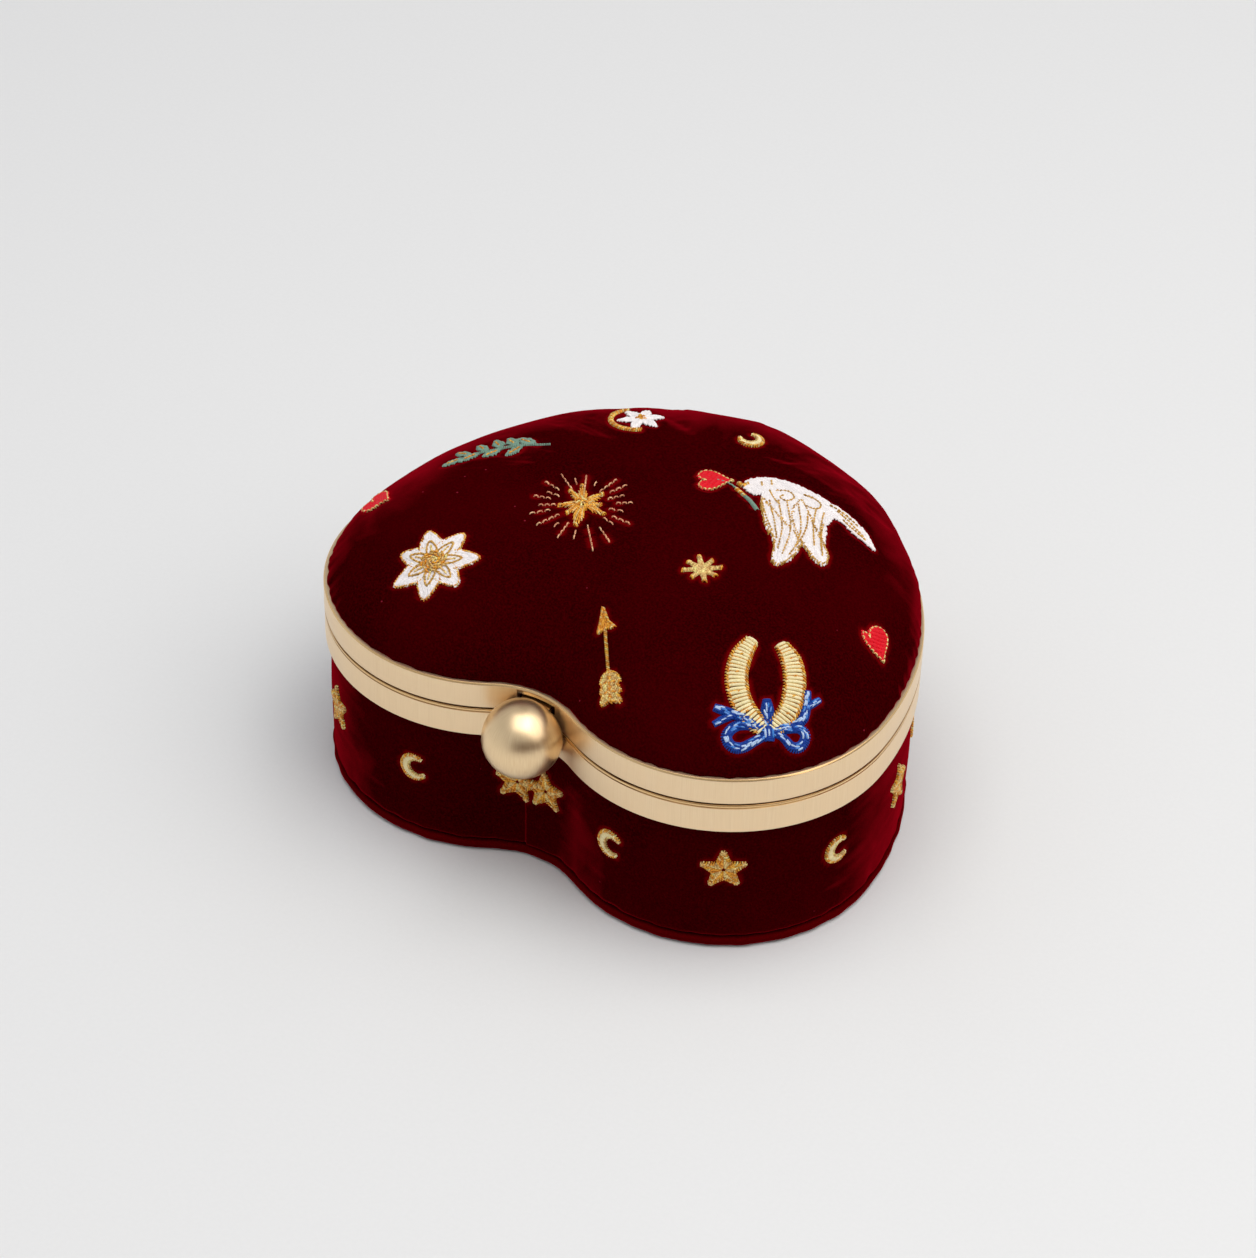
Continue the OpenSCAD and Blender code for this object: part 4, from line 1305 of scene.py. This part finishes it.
def bottom_panel():
    """The base board wrapped in velvet: rounded, a little uneven, flat underneath."""
    heart = Heart(spaced_runs(1.1))
    profile = [(12, 0), (5, 0), (2.9, 0.02), (2.1, 0.22), (1.6, 0.7), (1.32, 1.4), (1.32, 2.0), (1.6, 2.6),
               (2.2, 3.02), (3.0, 3.15), (6, 3.18), (12, 3.18)]
    rings = []
    for inset, z in profile:
        free = smoothstep(0.0, 0.8, z) * (1 if inset < 4 else 0)
        rings.append(heart.ring(inset - 0.14 * free * ripple(heart.runs, 12, 22, 70), z))
    low = [heart.shrunk(12, s, 0) for s in (0.3, 0.7)]
    high = [heart.shrunk(12, s, 3.18) for s in (0.7, 0.3)]
    rings = low + rings + high
    mesh = skin("wrapped_bottom", rings, heart.runs, poles=([*DOME_CENTRE, 0], [*DOME_CENTRE, 3.18]))
    # painted sheen on the rounded side of the wrapped bottom
    painted_sheen = [0.22 if 0.6 < ring[0, 2] < 2.8 else 0.0 for ring in rings]
    mark_painted_sheen(mesh, np.repeat(painted_sheen, len(heart.runs)))
    piece = new_object("wrapped_bottom", mesh, [VELVET])
    stand_for(piece, "base_panel", "base")


# ---------- linings and cushion ----------


def lining_cup():
    heart = Heart(spaced_runs(1.6))
    rings = [heart.shrunk(12, s, 3.3) for s in (0.3, 0.7, 1)] + [heart.ring(5.5, 3.32), heart.ring(4.6, 3.6)]
    rings += [heart.ring(4.5, z) for z in (10, 25, 40, LOWER_TOP - 1.1)]
    rings += [heart.ring(5.1, z) for z in (LOWER_TOP - 1.1, LOWER_TOP - 3)]
    for z in np.linspace(LOWER_TOP - 6, 6, 22):
        slack = smoothstep(4, 12, z) * (1 - smoothstep(LOWER_TOP - 12, LOWER_TOP - 6, z))
        rings.append(heart.ring(5.15 + 0.12 * slack * ripple(heart.runs, 50 + int(z // 5), 12, 50), z))
    rings += [heart.ring(5.3, 4.6), heart.ring(5.8, 4.05)]
    rings += [heart.shrunk(12, s, 3.95) for s in (1, 0.7, 0.3)]
    mesh = skin("lining_cup", rings, heart.runs, poles=([*DOME_CENTRE, 3.3], [*DOME_CENTRE, 3.95]))
    piece = new_object("lining_cup", mesh, [SATIN])
    cut(piece, hook_room())
    stand_for(piece, "base_lining", "base")


def lining_dome():
    """Satin inside the lid, gathered a little where it meets the frame."""
    heart = Heart(spaced_runs(1.6))
    drop = lining_drop()
    outer = dome_rings(heart, 4.7, drop, 34)
    inner = []
    for ring in dome_rings(heart, 5.15, drop + 0.45, 34):
        up = ring[:, 2].mean() - DOME_BASE
        fold = 0.16 * math.exp(-max(up, 0) / 4) * ripple(heart.runs, 91, 40, 110)
        moved = ring.copy()
        moved[:, :2] += unit(ring[:, :2] - DOME_CENTRE) * np.reshape(np.minimum(fold, 0.05), (-1, 1))
        inner.append(moved)
    mesh = skin("lining_dome", outer[::-1] + inner, heart.runs,
                poles=([*DOME_CENTRE, dome_height(0, drop)], [*DOME_CENTRE, dome_height(0, drop + 0.45)]))
    piece = new_object("lining_dome", mesh, [SATIN])
    cut(piece, block("catch_room", (-8.2, CLEFT_FACE - 1, RIM_Z - 1), (8.2, CLEFT_FACE + 8, DOME_BASE - 0.1)))
    stand_for(piece, "lid_lining", "lid")


def lining_drop():
    """How far the lid's lining lies below the top of the velvet."""
    return DOME_TOP - mm_box("lid_lining")[1][2]


CUSHION_PUFF = 0.3
CUSHION_COLUMNS = 324
CUSHION_CLOTH_COLUMNS = 108


def cushion_rings(heart):
    rings = [heart.shrunk(12, s, 4.15) for s in (0.35, 0.7, 1)]
    rings += [heart.ring(9, 4.15), heart.ring(7.4, 4.3), heart.ring(6.7, 5.0), heart.ring(6.6, 5.9)]
    rings += [heart.ring(6.9, 6.8), heart.ring(7.8, 7.6), heart.ring(9.4, 8.1)]
    for s in (0.92, 0.84, 0.76, 0.66, 0.54, 0.42, 0.28, 0.14):
        rings.append(heart.shrunk(9.4, s, 8.1 + CUSHION_PUFF * (1 - s**2)))
    return rings


def inner_cushion():
    """A thin satin cushion in the bottom of the box, puffed as cloth."""
    heart = Heart(np.linspace(0, HEART_RUN, CUSHION_COLUMNS, endpoint=False))
    rings = cushion_rings(heart)
    coarse = cushion_rings(Heart(np.linspace(0, HEART_RUN, CUSHION_CLOTH_COLUMNS, endpoint=False)))
    points = np.vstack(coarse + [[[*DOME_CENTRE, 8.4]]])
    held = points[:, 2] < 5.2
    moved = swell(points, grid_faces(len(coarse), CUSHION_CLOTH_COLUMNS, True), held, 3.5, 1.2, 0.03)
    moved[:, :2] *= 0.3
    moved = moved[:-1].reshape(len(coarse), CUSHION_CLOTH_COLUMNS, 3)
    shift = spread(moved, len(rings), CUSHION_COLUMNS)
    rings = [ring + shift[k] for k, ring in enumerate(rings)]
    top = float(rings[-1][:, 2].mean()) + 0.02
    mesh = skin("inner_cushion", rings, heart.runs, poles=([*DOME_CENTRE, 4.15], [*DOME_CENTRE, top]))
    piece = new_object("inner_cushion", mesh, [SATIN])
    stand_for(piece, "base_cushion", "base")


# ---------- brass frames ----------

BAND_T = 1.0
WEB_T = 0.8
FRAME_D = 6.0
INNER_H = 6.2


def frame_profile(height, bead):
    """The frame's section as (inset, distance from the seam): band, web and inner wall."""
    if bead:
        top = [(0.04, 0, 0.42), (0.04, 0.72, 0.28), (0.34, 0.74, 0.04), (0.34, 1.02, 0.05), (0.1, 1.16, 0.08)]
        face = 0.1
    else:
        top = [(0.0, 0, 0.45)]
        face = 0.0
    edge = [(face, height - 0.42, 0.1), (face + 0.34, height, 0.1)]
    inside = [(1.6, height, 0.1), (1.6, height - 0.6, 0.1), (BAND_T, height - 0.6, 0.1)]
    inside += [(BAND_T, WEB_T, 0.15), (FRAME_D - 0.8, WEB_T, 0.15), (FRAME_D - 0.8, INNER_H, 0.15)]
    inside += [(FRAME_D, INNER_H, 0.2), (FRAME_D, 0, 0.3)]
    return rounded(top + edge + inside)


def swept_frame(name, height, bead, place_z):
    heart = Heart(spaced_runs(0.9))
    profile = frame_profile(height, bead)
    rings = [heart.ring(inset, place_z(z)) for inset, z in profile]
    slots = []
    for k, (inset, z) in enumerate(profile):
        after = profile[(k + 1) % len(profile)]
        middle, deep = (z + after[1]) / 2, (inset + after[0]) / 2
        slots.append(finish_of(middle, deep, height, bead))
    mesh = skin(name, rings, heart.runs, loop=True, slots=slots)
    return new_object(name, mesh, [BRUSHED, POLISHED, GROOVE_SHADE])


def finish_of(middle, deep, height, bead):
    """0 brushed, 1 polished, 2 painted groove shade: by distance from the seam and depth behind the face."""
    # the groove under the bead and the faces in the seam get painted shade
    if bead and 0.68 < middle < 1.12 and deep < 0.6:
        return 2
    if middle < 0.16 and 0.12 < deep:
        return 2
    if deep > 0.6 or (0.3 < middle < height - 0.4 and not (bead and middle < 0.7)):
        return 0
    return 1


def hook_slot(low):
    """What leaves room for the catch's hook in a band, 3 mm high."""
    return block("hook_slot", (-4.7, CLEFT_FACE + 1.15, low), (4.7, CLEFT_FACE + 3.9, low + 3))


def lower_band():
    height = LOWER_TOP - BAND_LOW
    piece = swept_frame("lower_band", height, True, lambda z: LOWER_TOP - z)
    cut(piece, hook_slot(LOWER_TOP - 2))
    stand_for(piece, "lower_frame", "base")


def upper_band():
    height = UPPER_TOP - UPPER_BOTTOM
    piece = swept_frame("upper_band", height, False, lambda z: UPPER_BOTTOM + z)
    window = block("window", (-5.2, CLEFT_FACE - 2, PIVOT_Z - 1.4), (5.2, CLEFT_FACE + 1.5, PIVOT_Z + 2))
    cut(piece, hook_slot(UPPER_BOTTOM - 1), window)
    stand_for(piece, "upper_frame", "lid")


# ---------- ball clasp and small metal parts ----------


def ball_profile():
    """Half section of the ball as (radius, distance behind its centre)."""
    back = BALL_OUT - 0.7
    turns = np.radians(np.linspace(-90, 29, 54))
    rim = [(BALL_R * math.cos(t), BALL_R * math.sin(t)) for t in turns]
    start = rim[-1]
    cone = [(start[0] + (3 - start[0]) * t, start[1] + (back - start[1]) * t) for t in (0.04, 0.5, 0.96, 1)]
    return rim[1:] + cone + [(2.6, back), (1.2, back)]


def clasp_ball():
    """The ball, turned about the line from front to back, with room for its arm."""
    sides = 112
    profile = ball_profile()
    angles = np.linspace(0, 2 * math.pi, sides, endpoint=False)
    centre = np.array([0, CLEFT_FACE - BALL_OUT, BALL_Z])
    across, up = np.cos(angles), np.sin(angles)
    rings = [centre + np.stack([r * across, np.full(sides, b), r * up], 1) for r, b in profile]
    mesh = skin("ball", rings, np.linspace(0, 61, sides, endpoint=False),
                poles=(centre - (0, BALL_R, 0), centre + (0, BALL_OUT - 0.7, 0)))
    wrap_upright(mesh, centre)
    piece = new_object("ball", mesh, [TURNED])
    cut(piece,
        block("arm_room", (-4.25, centre[1] - 0.05, PIVOT_Z - 0.85), (4.25, centre[1] + 12, PIVOT_Z + 0.85)))
    stand_for(piece, "clasp_ball", "catch")


def wrap_upright(mesh, centre):
    """UVs in mm that run round and up the ball, as its polishing does."""
    layer = mesh.uv_layers["UVMap"]
    for loop in mesh.loops:
        p = np.array(mesh.vertices[loop.vertex_index].co) * 1000 - centre
        across = math.atan2(p[0], -p[1]) * BALL_R
        layer.data[loop.index].uv = (across, p[2] + 0.3 * abs(p[0]))


def eased(node, name, body, material, width=0.15):
    """A CAD part with its edges eased, standing for the sharp one."""
    bm = bmesh.new()
    bm.from_mesh(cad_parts[node].data)
    bmesh.ops.remove_doubles(bm, verts=bm.verts, dist=1e-6)
    bmesh.ops.dissolve_limit(bm, angle_limit=math.radians(1.5), verts=bm.verts, edges=bm.edges)
    mesh = bpy.data.meshes.new(name)
    bm.to_mesh(mesh)
    bm.free()
    piece = new_object(name, mesh, [material])
    ease = piece.modifiers.new("ease", "BEVEL")
    ease.width = width / 1000
    ease.segments = 2
    ease.limit_method = "ANGLE"
    ease.angle_limit = math.radians(35)
    ease.use_clamp_overlap = True
    finished(piece)
    shaded_smooth(piece)
    piece.data.set_sharp_from_angle(angle=math.radians(32))
    stand_for(piece, node, body)
    return piece


def catch_coil():
    """The catch's torsion spring: four turns round the pivot pin."""
    turns, steps, wire, coil = 4, 26, 0.26, 1.14
    path = []
    for i in range(turns * steps + 1):
        angle = 2 * math.pi * i / steps
        x = -1.7 + 3.4 * i / (turns * steps)
        path.append((x, CLEFT_FACE + PIVOT_IN + coil * math.cos(angle), PIVOT_Z + coil * math.sin(angle)))
    path = np.array(path)
    ahead = np.gradient(path, axis=0)
    ahead /= np.linalg.norm(ahead, axis=1)[:, None]
    side = np.cross(ahead, [1.0, 0, 0])
    side /= np.linalg.norm(side, axis=1)[:, None]
    other = np.cross(ahead, side)
    around = np.linspace(0, 2 * math.pi, 8, endpoint=False)
    rings = [p + wire * (np.outer(np.cos(around), s) + np.outer(np.sin(around), o))
             for p, s, o in zip(path, side, other)]
    mesh = skin("catch_coil", rings, np.linspace(0, 1.5, 8, endpoint=False), poles=(path[0], path[-1]))
    piece = new_object("catch_coil", mesh, [STEEL])
    stand_for(piece, "catch_spring", "lid")


def tongue_ridge(piece):
    """The arm's upper rib, which nearly fills the window above the ball."""
    rib = block("rib", (-4.1, CLEFT_FACE - 3.4, PIVOT_Z + 0.7), (4.1, CLEFT_FACE + 1.4, PIVOT_Z + 1.42))
    ease = rib.modifiers.new("ease", "BEVEL")
    ease.width = 0.0002
    ease.segments = 2
    finished(rib)
    join = piece.modifiers.new("rib", "BOOLEAN")
    join.operation = "UNION"
    join.solver = "EXACT"
    join.object = rib
    finished(piece)
    bpy.data.objects.remove(rib)


def small_parts():
    for node, body in (("hinge_leaf_lower", "base"), ("hinge_leaf_upper", "lid")):
        eased(node, node + "_eased", body, POLISHED, 0.2)
    for node, body in (("hinge_rivets_lower", "base"), ("hinge_rivets_upper", "lid")):
        eased(node, node + "_domed", body, POLISHED, 0.22)
    eased("hinge_pin", "hinge_pin_eased", "base", STEEL, 0.2)
    tongue_ridge(eased("catch_lever", "catch_arm", "catch", POLISHED, 0.22))
    eased("catch_bracket", "catch_bracket_eased", "lid", STEEL, 0.08)
    eased("catch_pivot_pin", "catch_pivot_pin_eased", "lid", STEEL, 0.12)
    eased("bracket_rivets", "bracket_rivets_domed", "lid", STEEL, 0.15)
    eased("keeper", "keeper_eased", "base", STEEL, 0.08)
    eased("keeper_rivets", "keeper_rivets_domed", "base", STEEL, 0.15)
    eased("ball_screw", "ball_screw_eased", "catch", STEEL, 0.1)


def carried_over():
    """Board and wadding keep their CAD shape and get a real finish."""
    finishes = {"base_board": BOARD, "base_wall": BOARD, "lid_shell": BOARD, "lid_padding": WADDING}
    for node, material in finishes.items():
        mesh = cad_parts[node].data
        mesh.materials.clear()
        mesh.materials.append(material)


# ---------- studio ----------


def studio_floor():
    bm = bmesh.new()
    bmesh.ops.create_grid(bm, x_segments=2, y_segments=2, size=2.5)
    mesh = bpy.data.meshes.new("studio_floor")
    bm.to_mesh(mesh)
    bm.free()
    floor = new_object("studio_floor", mesh, [paper_sweep()])
    floor.location.z = -0.0002


def soft_light(name, direction, distance, size, power, tint="#ffffff"):
    """A square soft light that looks at the box."""
    lamp = bpy.data.lights.new(name, "AREA")
    lamp.shape = "RECTANGLE"
    lamp.size, lamp.size_y = size
    lamp.energy = power
    lamp.color = colour(tint)[:3]
    light = bpy.data.objects.new(name, lamp)
    bpy.context.scene.collection.objects.link(light)
    aim = Vector((0, 0, 0.04))
    light.location = aim + Vector(direction).normalized() * distance
    light.rotation_euler = (aim - light.location).to_track_quat("-Z", "Y").to_euler()
    return light


def studio_lights():
    world = bpy.data.worlds.new("studio")
    world.use_nodes = True
    tree = world.node_tree
    tree.nodes.clear()
    # a pale room, brightest low down: dim and warm to the front right, with a dark joint in its ceiling
    place = add(tree, "ShaderNodeTexCoord").outputs["Generated"]
    up = add(tree, "ShaderNodeSeparateXYZ", {"Vector": place}).outputs["Z"]
    ways = ((0.865, -0.502, 0.0), (0.867, 0.498, 0.0), (-0.498, 0.867, 0.0))
    dots = [add(tree, "ShaderNodeVectorMath", {0: place, 1: way}, operation="DOT_PRODUCT") for way in ways]
    front, side, rear = [dot.outputs["Value"] for dot in dots]
    low = add(tree, "ShaderNodeMapRange", {"Value": up, "From Min": 0.6, "From Max": 0.42})
    near = add(tree, "ShaderNodeMapRange", {"Value": front, "From Min": 0.3, "From Max": 0.75})
    dim = add(tree, "ShaderNodeMath", {0: low.outputs[0], 1: near.outputs[0]}, operation="MULTIPLY")
    across = add(tree, "ShaderNodeMath", {0: side, 1: 0.02, 2: 0.08}, operation="COMPARE")
    behind = add(tree, "ShaderNodeMapRange", {"Value": rear, "From Min": 0.2, "From Max": 0.5})
    joint = add(tree, "ShaderNodeMath", {0: across.outputs[0], 1: behind.outputs[0]}, operation="MULTIPLY")
    tone = shaded(tree, dim.outputs[0], 0.0, 1.0, colour("#f7f8fa"), colour("#5c3a1c"))
    tone = shaded(tree, joint.outputs[0], 0.0, 1.0, tone, colour("#6a5036"))
    level = add(tree, "ShaderNodeMapRange", {"Value": up, "To Min": 0.77, "To Max": 0.41})
    back = add(tree, "ShaderNodeBackground", {"Color": tone, "Strength": level.outputs["Result"]})
    add(tree, "ShaderNodeOutputWorld", {"Surface": back.outputs["Background"]})
    bpy.context.scene.world = world
    soft_light("key", (0.63, 0.14, 0.9), 1.3, (1.5, 1.5), 9.0, "#fffaf4")
    soft_light("top", (0.05, -0.1, 1.0), 1.5, (1.3, 1.3), 9.2)


def camera():
    """The viewing angle: a long lens, half above and to the right of the front."""
    azimuth, elevation, roll = math.radians(29.85), math.radians(38.92), math.radians(1.61)
    back = Vector((math.sin(azimuth) * math.cos(elevation), -math.cos(azimuth) * math.cos(elevation),
                   math.sin(elevation)))
    right = Vector((math.cos(azimuth), math.sin(azimuth), 0))
    up = back.cross(right)
    right, up = right * math.cos(roll) + up * math.sin(roll), up * math.cos(roll) - right * math.sin(roll)
    data = bpy.data.cameras.new("camera")
    data.lens = 120.3
    data.sensor_width = 36
    data.sensor_fit = "HORIZONTAL"
    data.clip_start, data.clip_end = 0.05, 20
    view = bpy.data.objects.new("camera", data)
    bpy.context.scene.collection.objects.link(view)
    turn = Matrix((right, up, back)).transposed().to_4x4()
    target = Vector((0.00985, -0.02758, 0.06104))
    view.matrix_world = Matrix.Translation(target + back * 1.001) @ turn
    bpy.context.scene.camera = view


# ---------- build ----------

bpy.context.scene.view_settings.view_transform = "Standard"
camera()
studio_floor()
studio_lights()
lid_cover()
base_cover()
bottom_panel()
lining_cup()
lining_dome()
inner_cushion()
lower_band()
upper_band()
clasp_ball()
catch_coil()
small_parts()
carried_over()
